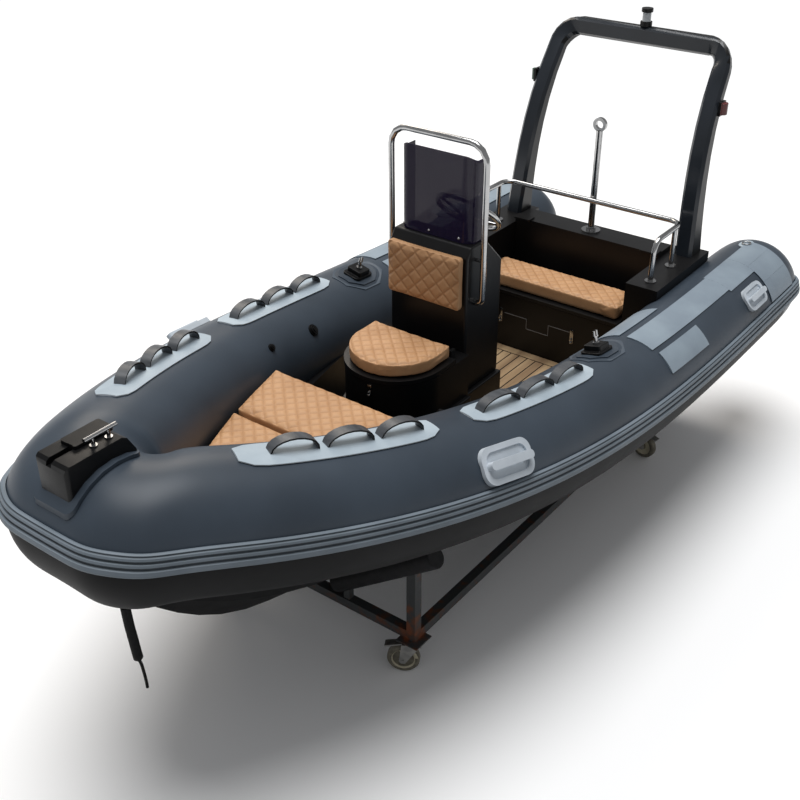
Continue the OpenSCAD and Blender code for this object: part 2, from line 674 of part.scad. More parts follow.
module steering_wheel() {
  r = helm_d / 2 - 11;
  color([0.7, 0.72, 0.75]) translate(dash_mid) rotate([0, helm_tilt - 90, 0]) {
    translate([0, 0, -36]) cylinder(d = shaft_d, h = 130);
    translate([0, 0, 84]) cylinder(d = 64, h = 22);
    translate([0, 0, 118]) rotate_extrude() translate([r, 0]) circle(d = 22);
    for (i = [0:4]) rotate([0, 0, 72 * i + 36]) translate([20, 0, 97]) rotate([0, 82, 0]) cylinder(d = 12, h = r - 17);
  }
}

module console_backrest() {
  color([0.82, 0.61, 0.44]) translate([console_x1 + 0.3, -console_y + 4, 1120]) rotate([90, 0, 90])
    rounded([2 * console_y - 8, 236, 40], 14);
}

// Seat locker with a fixed strip and hinge lugs behind its lid
hinge_x = console_x1 + 66;
hinge_z = seat_rim_z + lid_gap + lid_t + 6;
barrel_d = hinge_d + 10;
module seat_locker() {
  color([0.03, 0.03, 0.035]) {
    difference() {
      translate([0, 0, plinth_z + 0.4]) linear_extrude(seat_rim_z - plinth_z) seat_plan(console_x1 + 0.4, seat_r);
      translate([0, 0, plinth_z - 5]) linear_extrude(400) difference() {
        seat_plan(console_x1 + seat_wall, seat_r - seat_wall);
        translate([console_x1, -300]) square([hinge_x + 17 - console_x1, 600]);
      }
      translate([0, 0, plinth_z - 5]) linear_extrude(seat_rim_z - plinth_z - 30) seat_plan(console_x1 + seat_wall, seat_r - seat_wall);
    }
    both_sides() difference() {
      translate([hinge_x - 14, seat_r - 44, seat_rim_z]) cube([28, 14, hinge_z - seat_rim_z + 12]);
      translate([hinge_x, seat_r - 60, hinge_z]) rotate([-90, 0, 0]) cylinder(d = hinge_d - 1, h = 60);
    }
    translate([hinge_x, -seat_r + 31, hinge_z]) rotate([-90, 0, 0]) cylinder(d = hinge_d, h = 2 * (seat_r - 31));
  }
}

module seat_lid() {
  color([0.03, 0.03, 0.035]) difference() {
    union() {
      translate([0, 0, seat_rim_z + lid_gap]) linear_extrude(lid_t) seat_plan(hinge_x, seat_r + 3);
      translate([hinge_x, -seat_r + 52, hinge_z]) rotate([-90, 0, 0]) cylinder(d = barrel_d, h = 2 * (seat_r - 52));
      translate([hinge_x, -seat_r + 52, seat_rim_z + lid_gap]) cube([8, 2 * (seat_r - 52), lid_t + 4]);
    }
    translate([hinge_x, -300, hinge_z]) rotate([-90, 0, 0]) cylinder(d = hinge_d + 2 * fit_gap, h = 600);
    both_sides() translate([hinge_x - 30, seat_r - 49, seat_rim_z]) cube([60, 60, 60]);
  }
}

module seat_cushion() {
  color([0.82, 0.61, 0.44]) translate([0, 0, seat_rim_z + lid_gap + lid_t + 0.3]) linear_extrude(seat_pad_t)
    seat_plan(hinge_x + 34, seat_r - 10);
}

// Bench locker between the pods
bench_y = pod_y - 6;
bench_hinge_x = back_x + 100;
bench_hinge_z = bench_rim_z + lid_gap + lid_t + 6;
module bench_locker() {
  wall = 18;
  color([0.03, 0.03, 0.035]) {
    difference() {
      translate([back_x + 0.4, -bench_y, sole_z + 0.2]) cube([bench_x1 - back_x - 0.4, 2 * bench_y, bench_rim_z - sole_z]);
      translate([back_x + wall, -bench_y + wall, sole_z + wall])
        cube([bench_x1 - back_x - 2 * wall, 2 * (bench_y - wall), bench_rim_z - sole_z - wall - 30]);
      translate([bench_hinge_x + 20, -bench_y + wall, sole_z + wall])
        cube([bench_x1 - bench_hinge_x - 20 - wall, 2 * (bench_y - wall), 600]);
    }
    both_sides() difference() {
      translate([bench_hinge_x - 14, bench_y - 44, bench_rim_z]) cube([28, 14, bench_hinge_z - bench_rim_z + 12]);
      translate([bench_hinge_x, bench_y - 60, bench_hinge_z]) rotate([-90, 0, 0]) cylinder(d = hinge_d - 1, h = 60);
    }
    translate([bench_hinge_x, -bench_y + 31, bench_hinge_z]) rotate([-90, 0, 0]) cylinder(d = hinge_d, h = 2 * (bench_y - 31));
  }
}

module bench_lid() {
  w = bench_y - 2;
  color([0.03, 0.03, 0.035]) difference() {
    union() {
      translate([bench_hinge_x, -w, bench_rim_z + lid_gap]) cube([bench_x1 - bench_hinge_x + 6, 2 * w, lid_t]);
      translate([bench_hinge_x, -bench_y + 52, bench_hinge_z]) rotate([-90, 0, 0]) cylinder(d = barrel_d, h = 2 * (bench_y - 52));
      translate([bench_hinge_x, -bench_y + 52, bench_rim_z + lid_gap]) cube([8, 2 * (bench_y - 52), lid_t + 4]);
    }
    translate([bench_hinge_x, -700, bench_hinge_z]) rotate([-90, 0, 0]) cylinder(d = hinge_d + 2 * fit_gap, h = 1400);
    both_sides() translate([bench_hinge_x - 30, bench_y - 49, bench_rim_z]) cube([60, 60, 60]);
  }
}

module bench_cushion() {
  color([0.82, 0.61, 0.44]) translate([bench_hinge_x + 22, -bench_y + 12, bench_rim_z + lid_gap + lid_t + 0.3])
    rounded([bench_x1 - bench_hinge_x - 34, 2 * bench_y - 24, bench_pad_t], 20);
}

// Bulkhead with its ledge, and the side pods over the tubes' shoulders
module stern_deck() {
  color([0.03, 0.03, 0.035]) difference() {
    union() {
      translate([ledge_x, -pod_y, sole_z + 0.2]) cube([back_x - ledge_x, 2 * pod_y, ledge_z - sole_z - 0.2]);
      both_sides() translate([pod_x0, pod_y - 0.1, pod_z0]) cube([pod_x1 - pod_x0, pod_out - pod_y, pod_z - pod_z0]);
      both_sides() translate([back_x - 40, pod_y - 90, ledge_z - 1]) rounded([60, 90, 9], 8);
    }
    both_sides() tube_stretch(pod_x0 - 60, pod_x1 + 60, seat_gap);
  }
}

module stern_rail() {
  post_top = stern_rail_z;
  color([0.78, 0.79, 0.8]) {
    pipe([[stern_rail_x1, stern_rail_y, pod_z + 0.3], [stern_rail_x1, stern_rail_y, post_top], [stern_rail_x0, stern_rail_y, post_top],
      [stern_rail_x0, -stern_rail_y, post_top], [stern_rail_x1, -stern_rail_y, post_top], [stern_rail_x1, -stern_rail_y, pod_z + 0.3]],
      rail_d / 2, 58, 12, [1, 0.01, 0.02]);
    both_sides() {
      translate([stern_rail_x0 + 70, stern_rail_y, pod_z + 0.3]) cylinder(d = rail_d - 3, h = post_top - pod_z - 2);
      for (x = [stern_rail_x1, stern_rail_x0 + 70]) translate([x, stern_rail_y, pod_z + 0.3]) cylinder(d = 52, h = 6);
    }
  }
}

module tow_post() {
  ring = tow_bore + 28;
  color([0.78, 0.79, 0.8]) translate([tow_x, 0, 0]) difference() {
    union() {
      translate([0, 0, ledge_z + 0.3]) cylinder(d = 92, h = 8);
      translate([0, 0, ledge_z + 0.3]) cylinder(d = tow_d + 16, h = 20);
      translate([0, 0, ledge_z + 0.3]) cylinder(d = tow_d, h = tow_z - ledge_z - ring / 2 + 6);
      translate([9, 0, tow_z]) rotate([0, -90, 0]) cylinder(d = ring, h = 18);
    }
    translate([30, 0, tow_z]) rotate([0, -90, 0]) cylinder(d = tow_bore, h = 60);
  }
}

// Roll bar: legs lean inboard and sweep aft toward the top
function bar_sweep(z) = let (t = (z - pod_z) / (bar_z - pod_z)) bar_x0 - bar_rake * (0.16 * t + 0.84 * pow(t, 3));
bar_path = let (p = bent([[bar_foot_y, pod_z + 0.3, 0], [bar_top_y, bar_z, 0], [-bar_top_y, bar_z, 0],
    [-bar_foot_y, pod_z + 0.3, 0]], bar_bend, 6),
  legs = [for (i = [1:6]) p[0] + (p[1] - p[0]) * i / 7])
  concat([p[0]], legs, [for (i = [1:len(p) - 2]) p[i]], [for (i = [5:-1:0]) [-legs[i][0], legs[i][1], 0]], [p[len(p) - 1]]);
bar_last = len(bar_path) - 1;
function bar_depth(z) = bar_foot_t + (bar_t - bar_foot_t) * pow(min(1, (z - pod_z) / (bar_z - pod_z - bar_bend)), 0.7);
function bar_ring(i) =
  let (q = bar_path[i], t = i == 0 ? [0, 1] : i == bar_last ? [0, -1] : heading(bar_path, i), n = [t[1], -t[0]],
    p = [bar_sweep(q[1]), q[0], q[1]], o = [0, n[0], n[1]],
    s = i == 0 || i == bar_last ? 0 : (bar_sweep(q[1] + 5) - bar_sweep(q[1] - 5)) / 10,
    f = unit([1, 0, -s * abs(t[1])]), w = bar_w / 2, d = bar_depth(q[1]) / 2, c = 14)
  [for (k = [[1, -1, 0], [1, 1, 0], [1, 1, 1], [-1, 1, 1], [-1, 1, 0], [-1, -1, 0], [-1, -1, 1], [1, -1, 1]])
    p + o * k[0] * (w - c * k[2]) + f * k[1] * (d - c * (1 - k[2]))];
module roll_bar() {
  color([0.2, 0.22, 0.25]) loft([for (i = [0:len(bar_path) - 1]) back(bar_ring(i))]);
}

module masthead_light() {
  x = bar_sweep(bar_z);
  top = bar_z + bar_w / 2 + 1;
  color([0.85, 0.86, 0.86]) translate([x, 0, top]) {
    cylinder(d = 56, h = 22);
    cylinder(d = 40, h = 66);
    translate([0, 0, 64]) cylinder(d = 54, h = 18);
  }
}

light_share = 0.745;
light_z = pod_z + (bar_z - pod_z) * light_share;
module side_lights() {
  t = light_share;
  y = bar_foot_y + (bar_top_y - bar_foot_y) * t + bar_w / 2 + 2.4;
  color([0.1, 0.1, 0.1]) both_sides() translate([bar_sweep(light_z) - 26, y, light_z - 32]) {
    cube([52, 14, 64]);
    translate([26, 12, 6]) difference() {
      cylinder(d = 44, h = 52);
      translate([-30, -30, -1]) cube([60, 30, 60]);
    }
  }
}

// Cradle: square-tube frame, four posts and two pairs of padded bunks along the hull's bottom
function bunk_slope(x) = atan((chine_z_at(x) - keel_at(x)) / chine_y_at(x));
function bunk_z(x, y) =
  keel_at(x) + (y - rail_w) * tan(bunk_slope(x)) - (bunk_d / 2 + bunk_drop(x)) / cos(bunk_slope(x));
// Clearance under the hull: the forward bunks also allow for the bottom's rise along X
function bunk_drop(x) = x > 0 ? 1.6 : 0.3;
module bunk(x, d) {
  a = bunk_slope(x);
  translate([x, bunk_in, bunk_z(x, bunk_in)]) rotate([a - 90, 0, 0])
    cylinder(d = d, h = (cradle_y + bunk_out - bunk_in) / cos(a));
}
frame_z = caster_h + 4;
module cradle_frame() {
  plate = 96;
  color([0.25, 0.24, 0.24]) difference() {
    union() {
      both_sides() {
        translate([cradle_x0 - bar_a / 2, cradle_y - bar_a / 2, frame_z]) cube([cradle_x1 - cradle_x0 + bar_a, bar_a, bar_a]);
        for (x = [cradle_x0, cradle_x1]) {
          translate([x - bar_a / 2, cradle_y - bar_a / 2, frame_z]) cube([bar_a, bar_a, bunk_z(x, cradle_y) - frame_z]);
          translate([x - plate / 2, cradle_y - plate / 2, caster_h]) cube([plate, plate, 6]);
          translate([x - bar_a / 2 + 6, bunk_in + 40, frame_z]) cube([bar_a - 12, bar_a - 12, bunk_z(x, bunk_in + 54) - frame_z]);
        }
      }
      for (x = [cradle_x0, cradle_x1]) translate([x - bar_a / 2, -cradle_y, frame_z]) cube([bar_a, 2 * cradle_y, bar_a]);
    }
    both_sides() for (x = [cradle_x0, cradle_x1]) {
      bunk(x, bunk_d + 0.6);
      translate([x, cradle_y, caster_h - 5]) cylinder(d = axle_d + 2 * fit_gap, h = 25);
    }
  }
}

module cradle_bunks() {
  color([0.06, 0.06, 0.06]) both_sides() for (x = [cradle_x0, cradle_x1]) bunk(x, bunk_d);
}

// Swivel fork with kingpin, axle and brake pedal; the wheel trails along local +X
module caster_place(c) {
  translate([c[1] > 0 ? cradle_x1 : cradle_x0, c[2] * cradle_y, 0]) rotate([0, 0, c[3]]) children();
}
module caster_fork(c) {
  r = wheel_d / 2;
  inner = wheel_w / 2 + 5;
  color([0.45, 0.46, 0.47]) caster_place(c) {
    translate([0, 0, caster_h - 16.3]) cylinder(d = 62, h = 16);
    translate([0, 0, caster_h - 1]) cylinder(d = axle_d, h = 18);
    translate([-30, -inner - 4, caster_h - 22]) cube([72, 2 * inner + 8, 6]);
    for (s = [-1, 1]) translate([0, s > 0 ? inner : -inner - 4, 0]) rotate([90, 0, 0]) translate([0, 0, -4]) linear_extrude(4) polygon([
      [-28, caster_h - 16.5], [44, caster_h - 16.5], [trail + 16, r - 4], [trail + 8, r - 14], [trail - 8, r - 14], [trail - 18, r + 2]]);
    translate([trail, -inner - 8, r]) rotate([-90, 0, 0]) cylinder(d = axle_d, h = 2 * inner + 16);
    translate([trail - 4, -16, caster_h - 20.5]) rotate([0, 12, 0]) cube([76, 32, 5]);
  }
}
module caster_wheel(c) {
  r = wheel_d / 2;
  w = wheel_w;
  color([0.8, 0.77, 0.66]) caster_place(c) translate([trail, 0, r]) rotate([90, 0, 0]) rotate_extrude() polygon([
    [axle_d / 2 + fit_gap, -w / 2 - 3], [axle_d / 2 + 10, -w / 2 - 3], [axle_d / 2 + 12, -w / 2 + 6], [r - 22, -w / 2 + 6],
    [r - 18, -w / 2], [r - 5, -w / 2], [r, -w / 2 + 6], [r, w / 2 - 6], [r - 5, w / 2], [r - 18, w / 2], [r - 22, w / 2 - 6],
    [axle_d / 2 + 12, w / 2 - 6], [axle_d / 2 + 10, w / 2 + 3], [axle_d / 2 + fit_gap, w / 2 + 3]]);
}

hull();
transom();
teak_floor();
inflatable_tube();
rub_strake();
side_panels();
grab_patches();
grab_loops();
lifting_handles();
oarlocks();
oarlock_pins();
bow_step();
bow_cleat();
bow_eye();
painter_rope();
sun_pad_rear();
sun_pad_front();
console_plinth();
console();
windshield();
console_hoop();
steering_wheel();
console_backrest();
seat_locker();
seat_lid();
seat_cushion();
bench_locker();
bench_lid();
bench_cushion();
stern_deck();
stern_rail();
tow_post();
roll_bar();
masthead_light();
side_lights();
cradle_frame();
cradle_bunks();
caster_fork(CASTERS[0]);  // caster_fork_front_port
caster_fork(CASTERS[1]);  // caster_fork_front_starboard
caster_fork(CASTERS[2]);  // caster_fork_rear_port
caster_fork(CASTERS[3]);  // caster_fork_rear_starboard
caster_wheel(CASTERS[0]);  // caster_wheel_front_port
caster_wheel(CASTERS[1]);  // caster_wheel_front_starboard
caster_wheel(CASTERS[2]);  // caster_wheel_rear_port
caster_wheel(CASTERS[3]);  // caster_wheel_rear_starboard
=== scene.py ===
# %% [markdown]
# # A rigid inflatable boat on its cradle
# The imported model gives the construction: a tube, a hull, seats, rails, a cradle and its casters,
# all in metres. This lesson dresses it. It loads the frame first.

# %% Load the frame
import math

import bmesh
import bpy
import numpy as np
from mathutils import Matrix, Vector


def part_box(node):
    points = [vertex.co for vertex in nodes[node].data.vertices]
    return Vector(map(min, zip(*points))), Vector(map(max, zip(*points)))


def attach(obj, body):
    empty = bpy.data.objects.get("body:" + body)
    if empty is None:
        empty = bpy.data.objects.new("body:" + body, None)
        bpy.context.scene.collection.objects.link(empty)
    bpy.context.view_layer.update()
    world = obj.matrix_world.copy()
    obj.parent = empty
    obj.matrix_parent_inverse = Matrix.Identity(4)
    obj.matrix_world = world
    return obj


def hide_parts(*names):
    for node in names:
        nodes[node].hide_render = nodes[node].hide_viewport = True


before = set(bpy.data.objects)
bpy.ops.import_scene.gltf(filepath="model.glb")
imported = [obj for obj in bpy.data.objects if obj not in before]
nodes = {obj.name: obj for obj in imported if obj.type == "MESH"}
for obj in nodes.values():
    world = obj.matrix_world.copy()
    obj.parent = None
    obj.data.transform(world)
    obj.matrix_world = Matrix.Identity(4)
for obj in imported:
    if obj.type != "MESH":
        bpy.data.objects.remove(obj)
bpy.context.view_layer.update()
scene = bpy.context.scene
scene.view_settings.view_transform = "Standard"

# %% [markdown]
# ## Camera
# The photograph looks down on the bow from the port side. The pose was fitted to the tube, the
# rails and the casters, with the lens axis in the middle of the frame.

# %% Place the camera
IMAGE_PX = 800
FOCAL_PX = 1133.0
CAMERA_AT = Vector((3.3624, 2.3611, 3.1137))
YAW, PITCH, ROLL = (math.radians(a) for a in (217.046, -31.195, -0.2))
SENSOR_MM = 36.0

ahead = Vector((math.cos(PITCH) * math.cos(YAW), math.cos(PITCH) * math.sin(YAW), math.sin(PITCH)))
level_right = ahead.cross(Vector((0, 0, 1))).normalized()
level_up = level_right.cross(ahead)
right = level_right * math.cos(ROLL) + level_up * math.sin(ROLL)
up = level_up * math.cos(ROLL) - level_right * math.sin(ROLL)
camera = bpy.data.objects.new("camera", bpy.data.cameras.new("camera"))
camera.matrix_world = Matrix.Translation(CAMERA_AT) @ Matrix((right, up, -ahead)).transposed().to_4x4()
camera.data.sensor_width = SENSOR_MM
camera.data.lens = SENSOR_MM * FOCAL_PX / IMAGE_PX
scene.collection.objects.link(camera)
scene.camera = camera
print("lens", round(camera.data.lens, 2), "mm")

# %% [markdown]
# ## Finishes
# Every finish starts from two close colours mixed by noise, because no moulded or painted surface
# has a single one. A second noise varies the gloss and a third gives the grain as bump. They read
# Object coordinates in metres, so a scale of 100 is a grain of about a centimetre. Dark rubber
# and paint get a low shine, or the white studio would wash them out.

# %% Helpers for finishes
def srgb(red, green, blue):
    """A colour as it is seen, 0 to 255, in the linear values that shaders take."""
    def linear(v):
        v /= 255
        return v / 12.92 if v <= 0.04045 else ((v + 0.055) / 1.055) ** 2.4
    return (linear(red), linear(green), linear(blue), 1.0)


def add_noise(tree, scale, detail=3.0, stretch=(1, 1, 1)):
    place = tree.nodes.new("ShaderNodeTexCoord")
    turn = tree.nodes.new("ShaderNodeMapping")
    turn.inputs["Scale"].default_value = stretch
    noise = tree.nodes.new("ShaderNodeTexNoise")
    noise.inputs["Scale"].default_value = scale
    noise.inputs["Detail"].default_value = detail
    tree.links.new(place.outputs["Object"], turn.inputs["Vector"])
    tree.links.new(turn.outputs["Vector"], noise.inputs["Vector"])
    return noise.outputs["Fac"]


def add_ramp(tree, value, stops):
    ramp = tree.nodes.new("ShaderNodeValToRGB")
    while len(ramp.color_ramp.elements) < len(stops):
        ramp.color_ramp.elements.new(0.5)
    for element, (at, colour) in zip(ramp.color_ramp.elements, stops):
        element.position = at
        element.color = colour
    tree.links.new(value, ramp.inputs["Fac"])
    return ramp.outputs["Color"]


def add_bump(tree, shader, height, strength, depth):
    bump = tree.nodes.new("ShaderNodeBump")
    bump.inputs["Strength"].default_value = strength
    bump.inputs["Distance"].default_value = depth
    tree.links.new(height, bump.inputs["Height"])
    tree.links.new(bump.outputs["Normal"], shader.inputs["Normal"])


def make_finish(name, dark, light, blotch=6.0, gloss=(0.35, 0.5), grain=300.0, grain_depth=0.0,
                shine=0.4, metal=0.0, stretch=(1, 1, 1)):
    """Two colours in blotches, a range of roughness, and a grain as bump."""
    finish = bpy.data.materials.new(name)
    finish.use_nodes = True
    tree = finish.node_tree
    shader = tree.nodes["Principled BSDF"]
    shader.inputs["Metallic"].default_value = metal
    shader.inputs["Specular IOR Level"].default_value = shine
    blotches = add_noise(tree, blotch, 4.0, stretch)
    colour = add_ramp(tree, blotches, [(0.35, dark), (0.65, light)])
    tree.links.new(colour, shader.inputs["Base Color"])
    spread = tree.nodes.new("ShaderNodeMapRange")
    spread.inputs["To Min"].default_value = gloss[0]
    spread.inputs["To Max"].default_value = gloss[1]
    tree.links.new(add_noise(tree, blotch * 2.5, 3.0, stretch), spread.inputs["Value"])
    tree.links.new(spread.outputs["Result"], shader.inputs["Roughness"])
    if grain_depth:
        add_bump(tree, shader, add_noise(tree, grain, 2.0, stretch), 0.35, grain_depth)
    return finish


def shade_by_mark(finish, mark, stops):
    """Multiplies a finish by a ramp on a mark that the mesh carries at its vertices."""
    tree = finish.node_tree
    shader = tree.nodes["Principled BSDF"]
    plain = shader.inputs["Base Color"].links[0].from_socket
    level = tree.nodes.new("ShaderNodeAttribute")
    level.attribute_name = mark
    shaded = tree.nodes.new("ShaderNodeMix")
    shaded.data_type = "RGBA"
    shaded.blend_type = "MULTIPLY"
    shaded.inputs[0].default_value = 1.0
    tree.links.new(plain, shaded.inputs[6])
    tree.links.new(add_ramp(tree, level.outputs["Fac"], stops), shaded.inputs[7])
    tree.links.new(shaded.outputs[2], shader.inputs["Base Color"])


# %% Finishes of the tube and what is glued to it
tube_fabric = make_finish("tube_fabric", srgb(54, 63, 73), srgb(62, 72, 83),
                          blotch=3.0, gloss=(0.36, 0.46), grain=500, grain_depth=0.00025, shine=0.35)
# Painted shade: the tube's fabric is painted black below the strake, on the outboard side.
painted_shade_fabric = make_finish("painted_shade_fabric", srgb(15, 15, 16), srgb(22, 22, 23),
                           blotch=3.0, gloss=(0.5, 0.62), grain=500, grain_depth=0.00025, shine=0.12)
strake_rubber = make_finish("strake_rubber", srgb(114, 125, 134), srgb(128, 139, 149),
                            blotch=5.0, gloss=(0.42, 0.55), grain=400, grain_depth=0.0003, shine=0.3)
panel_fabric = make_finish("panel_fabric", srgb(132, 145, 157), srgb(146, 160, 171),
                           blotch=5.0, gloss=(0.42, 0.52), grain=500, grain_depth=0.00025)
patch_fabric = make_finish("patch_fabric", srgb(166, 180, 190), srgb(182, 195, 204),
                           blotch=8.0, gloss=(0.4, 0.5), grain=500, grain_depth=0.00025)
welt_rubber = make_finish("welt_rubber", srgb(206, 214, 220), srgb(218, 225, 230),
                          blotch=12.0, gloss=(0.36, 0.46), grain=400, grain_depth=0.0002)
handle_rubber = make_finish("handle_rubber", srgb(190, 199, 207), srgb(205, 213, 221),
                            blotch=9.0, gloss=(0.34, 0.46), grain=400, grain_depth=0.0002)
seam_tape = make_finish("seam_tape", srgb(70, 80, 91), srgb(80, 90, 101),
                        blotch=6.0, gloss=(0.4, 0.5), grain=500, grain_depth=0.00025, shine=0.35)
webbing = make_finish("webbing", srgb(66, 69, 73), srgb(86, 89, 93),
                      blotch=40.0, gloss=(0.3, 0.42), grain=900, grain_depth=0.0006,
                      shine=0.4, stretch=(1, 0.2, 1))
# A darker copy of the webbing for the loops' faces that turn level to the side: painted shade.
webbing_painted_shade = make_finish("webbing_painted_shade", srgb(14, 14, 15), srgb(22, 22, 23),
                           blotch=40.0, gloss=(0.6, 0.75), grain=900, grain_depth=0.0006, shine=0.2)
print("tube finishes", len(bpy.data.materials))

# %% Finishes of mouldings and metal
gelcoat = make_finish("gelcoat", srgb(14, 14, 15), srgb(22, 22, 23),
                      blotch=4.0, gloss=(0.3, 0.42), grain=60, grain_depth=0.0002, shine=0.3)
bottom_paint = make_finish("bottom_paint", srgb(9, 9, 10), srgb(15, 15, 16),
                           blotch=6.0, gloss=(0.6, 0.75), grain=300, grain_depth=0.0003, shine=0.12)
black_moulding = make_finish("black_moulding", srgb(12, 12, 13), srgb(19, 19, 20),
                             blotch=12.0, gloss=(0.3, 0.4), grain=700, grain_depth=0.0003, shine=0.2)
# Pale grey for the strip along the bench seam: a painted highlight on the lid's edge.
painted_seam_highlight = make_finish("painted_seam_highlight", srgb(120, 122, 126), srgb(140, 142, 146),
                            blotch=20.0, gloss=(0.25, 0.35), shine=0.5)
stainless = make_finish("stainless", (0.40, 0.40, 0.40, 1), (0.50, 0.50, 0.50, 1),
                        blotch=10.0, gloss=(0.12, 0.22), metal=1.0)
bar_front = make_finish("bar_front", srgb(36, 41, 47), srgb(45, 50, 57),
                        blotch=4.0, gloss=(0.14, 0.26), grain=60, grain_depth=0.0002, shine=0.4)
bunk_foam = make_finish("bunk_foam", srgb(15, 15, 16), srgb(26, 26, 28),
                        blotch=20.0, gloss=(0.6, 0.8), grain=300, grain_depth=0.001, shine=0.25)
zinc = make_finish("zinc", (0.30, 0.30, 0.29, 1), (0.42, 0.41, 0.39, 1),
                   blotch=40.0, gloss=(0.3, 0.48), metal=1.0)
cream_nylon = make_finish("cream_nylon", srgb(186, 178, 152), srgb(210, 203, 180),
                          blotch=30.0, gloss=(0.4, 0.55), grain=300, grain_depth=0.0004)
worn_tread = make_finish("worn_tread", srgb(92, 88, 76), srgb(126, 121, 106),
                         blotch=50.0, gloss=(0.5, 0.65), grain=300, grain_depth=0.0005)
caulk = make_finish("caulk", srgb(18, 17, 16), srgb(28, 26, 25),
                    blotch=30.0, gloss=(0.6, 0.75), grain=300, grain_depth=0.0003, shine=0.2)
teak = make_finish("teak", srgb(128, 104, 78), srgb(172, 146, 112),
                   blotch=9.0, gloss=(0.55, 0.7), grain=120, grain_depth=0.0004,
                   shine=0.25, stretch=(0.12, 1.6, 1))
rope_fibre = make_finish("rope_fibre", srgb(12, 12, 12), srgb(24, 24, 24),
                         blotch=60.0, gloss=(0.7, 0.85), grain=500, grain_depth=0.001, shine=0.2)
white_lens = make_finish("white_lens", srgb(196, 202, 206), srgb(216, 221, 224),
                         blotch=20.0, gloss=(0.12, 0.2), shine=0.5)
red_lens = make_finish("red_lens", srgb(84, 12, 14), srgb(104, 18, 18),
                       blotch=20.0, gloss=(0.1, 0.18), shine=0.5)
green_lens = make_finish("green_lens", srgb(12, 62, 36), srgb(18, 78, 46),
                         blotch=20.0, gloss=(0.1, 0.18), shine=0.5)
print("all plain finishes", len(bpy.data.materials))

# %% [markdown]
# Four finishes need more. The screen is smoked acrylic: mostly opaque, with a little of the wheel
# showing through. Rust starts at the welds above the casters, so the noise that draws it is
# raised near those four corners. The cushion cover has painted shade along its quilting seams and
# a painted highlight on its rounded edges; each cushion carries that as a vertex attribute. In the
# same way the strake carries one named ridge, and has painted shade in its grooves.

# %% Smoked acrylic, rust, sewn vinyl and ridged rubber
RUST_CORNERS = ((0.81, 0.47, 0.19), (1.04, 0.50, 0.19))
RUST_NEAR, RUST_FAR, RUST_RAISE = 0.05, 0.22, 0.1

tint = bpy.data.materials.new("tint")
tint.use_nodes = True
tint_shader = tint.node_tree.nodes["Principled BSDF"]
tint_shader.inputs["Base Color"].default_value = srgb(38, 30, 58)
tint_shader.inputs["Roughness"].default_value = 0.06
tint_shader.inputs["Alpha"].default_value = 0.88
tint_shader.inputs["IOR"].default_value = 1.49
tint_shader.inputs["Specular IOR Level"].default_value = 0.15

rusty_steel = make_finish("rusty_steel", srgb(52, 54, 55), srgb(66, 68, 69),
                          blotch=14.0, gloss=(0.45, 0.65), grain=160, grain_depth=0.0006, shine=0.3)
rust_tree = rusty_steel.node_tree
corner_place = rust_tree.nodes.new("ShaderNodeTexCoord")
folded = rust_tree.nodes.new("ShaderNodeVectorMath")
folded.operation = "ABSOLUTE"
rust_tree.links.new(corner_place.outputs["Object"], folded.inputs[0])
nearest = None
for corner_at in RUST_CORNERS:
    away = rust_tree.nodes.new("ShaderNodeVectorMath")
    away.operation = "DISTANCE"
    away.inputs[1].default_value = corner_at
    rust_tree.links.new(folded.outputs["Vector"], away.inputs[0])
    if nearest:
        smaller = rust_tree.nodes.new("ShaderNodeMath")
        smaller.operation = "MINIMUM"
        rust_tree.links.new(nearest, smaller.inputs[0])
        rust_tree.links.new(away.outputs["Value"], smaller.inputs[1])
        nearest = smaller.outputs["Value"]
    else:
        nearest = away.outputs["Value"]
raise_rust = rust_tree.nodes.new("ShaderNodeMapRange")
raise_rust.inputs["From Min"].default_value = RUST_NEAR
raise_rust.inputs["From Max"].default_value = RUST_FAR
raise_rust.inputs["To Min"].default_value = RUST_RAISE
raise_rust.inputs["To Max"].default_value = 0.0
rust_tree.links.new(nearest, raise_rust.inputs["Value"])
rust_level = rust_tree.nodes.new("ShaderNodeMath")
rust_level.operation = "ADD"
rust_tree.links.new(add_noise(rust_tree, 26.0, 6.0), rust_level.inputs[0])
rust_tree.links.new(raise_rust.outputs["Result"], rust_level.inputs[1])
rust_stops = [(0.56, srgb(60, 62, 63)), (0.66, srgb(84, 58, 46)), (0.8, srgb(118, 66, 40))]
rust_colour = add_ramp(rust_tree, rust_level.outputs["Value"], rust_stops)
rust_tree.links.new(rust_colour, rust_tree.nodes["Principled BSDF"].inputs["Base Color"])

tan_vinyl = make_finish("tan_vinyl", srgb(196, 150, 108), srgb(210, 164, 121),
                        blotch=10.0, gloss=(0.45, 0.56), grain=700, grain_depth=0.0004, shine=0.3)
# Painted shade along the quilting seams and a painted highlight on the rounded edges.
shade_by_mark(tan_vinyl, "painted_quilt_light",
              [(0.0, (0.70, 0.65, 0.60, 1)), (0.5, (0.9, 0.9, 0.9, 1)), (1.0, (1, 1, 1, 1))])
# Painted shade in the strake's grooves: darker where the ridge mark is low.
shade_by_mark(strake_rubber, "ridge",
              [(0.0, (0.3, 0.3, 0.3, 1)), (0.5, (0.66, 0.66, 0.66, 1)), (1.0, (0.95, 0.95, 0.95, 1))])
print("tint, rust, vinyl and strake set")

# %% [markdown]
# ## Dressing a node
# The construction arrives as loose triangles. A copy with its doubles merged can be shaded smooth
# where faces meet gently and kept crisp where they meet at an angle. A small bevel rounds moulded
# edges, which catches the light as real mouldings do. The tube and its strake are subdivided
# instead, with their sharp edges creased, so that the sweep's facets go.

# %% Smooth copies of the nodes
BOAT = "boat_on_cradle"
CREASE_DEG = 24
QUAD_FACE_DEG, QUAD_SHAPE_DEG = 40, 60
FLAT_DEG, BEVEL_DEG = 0.5, 40


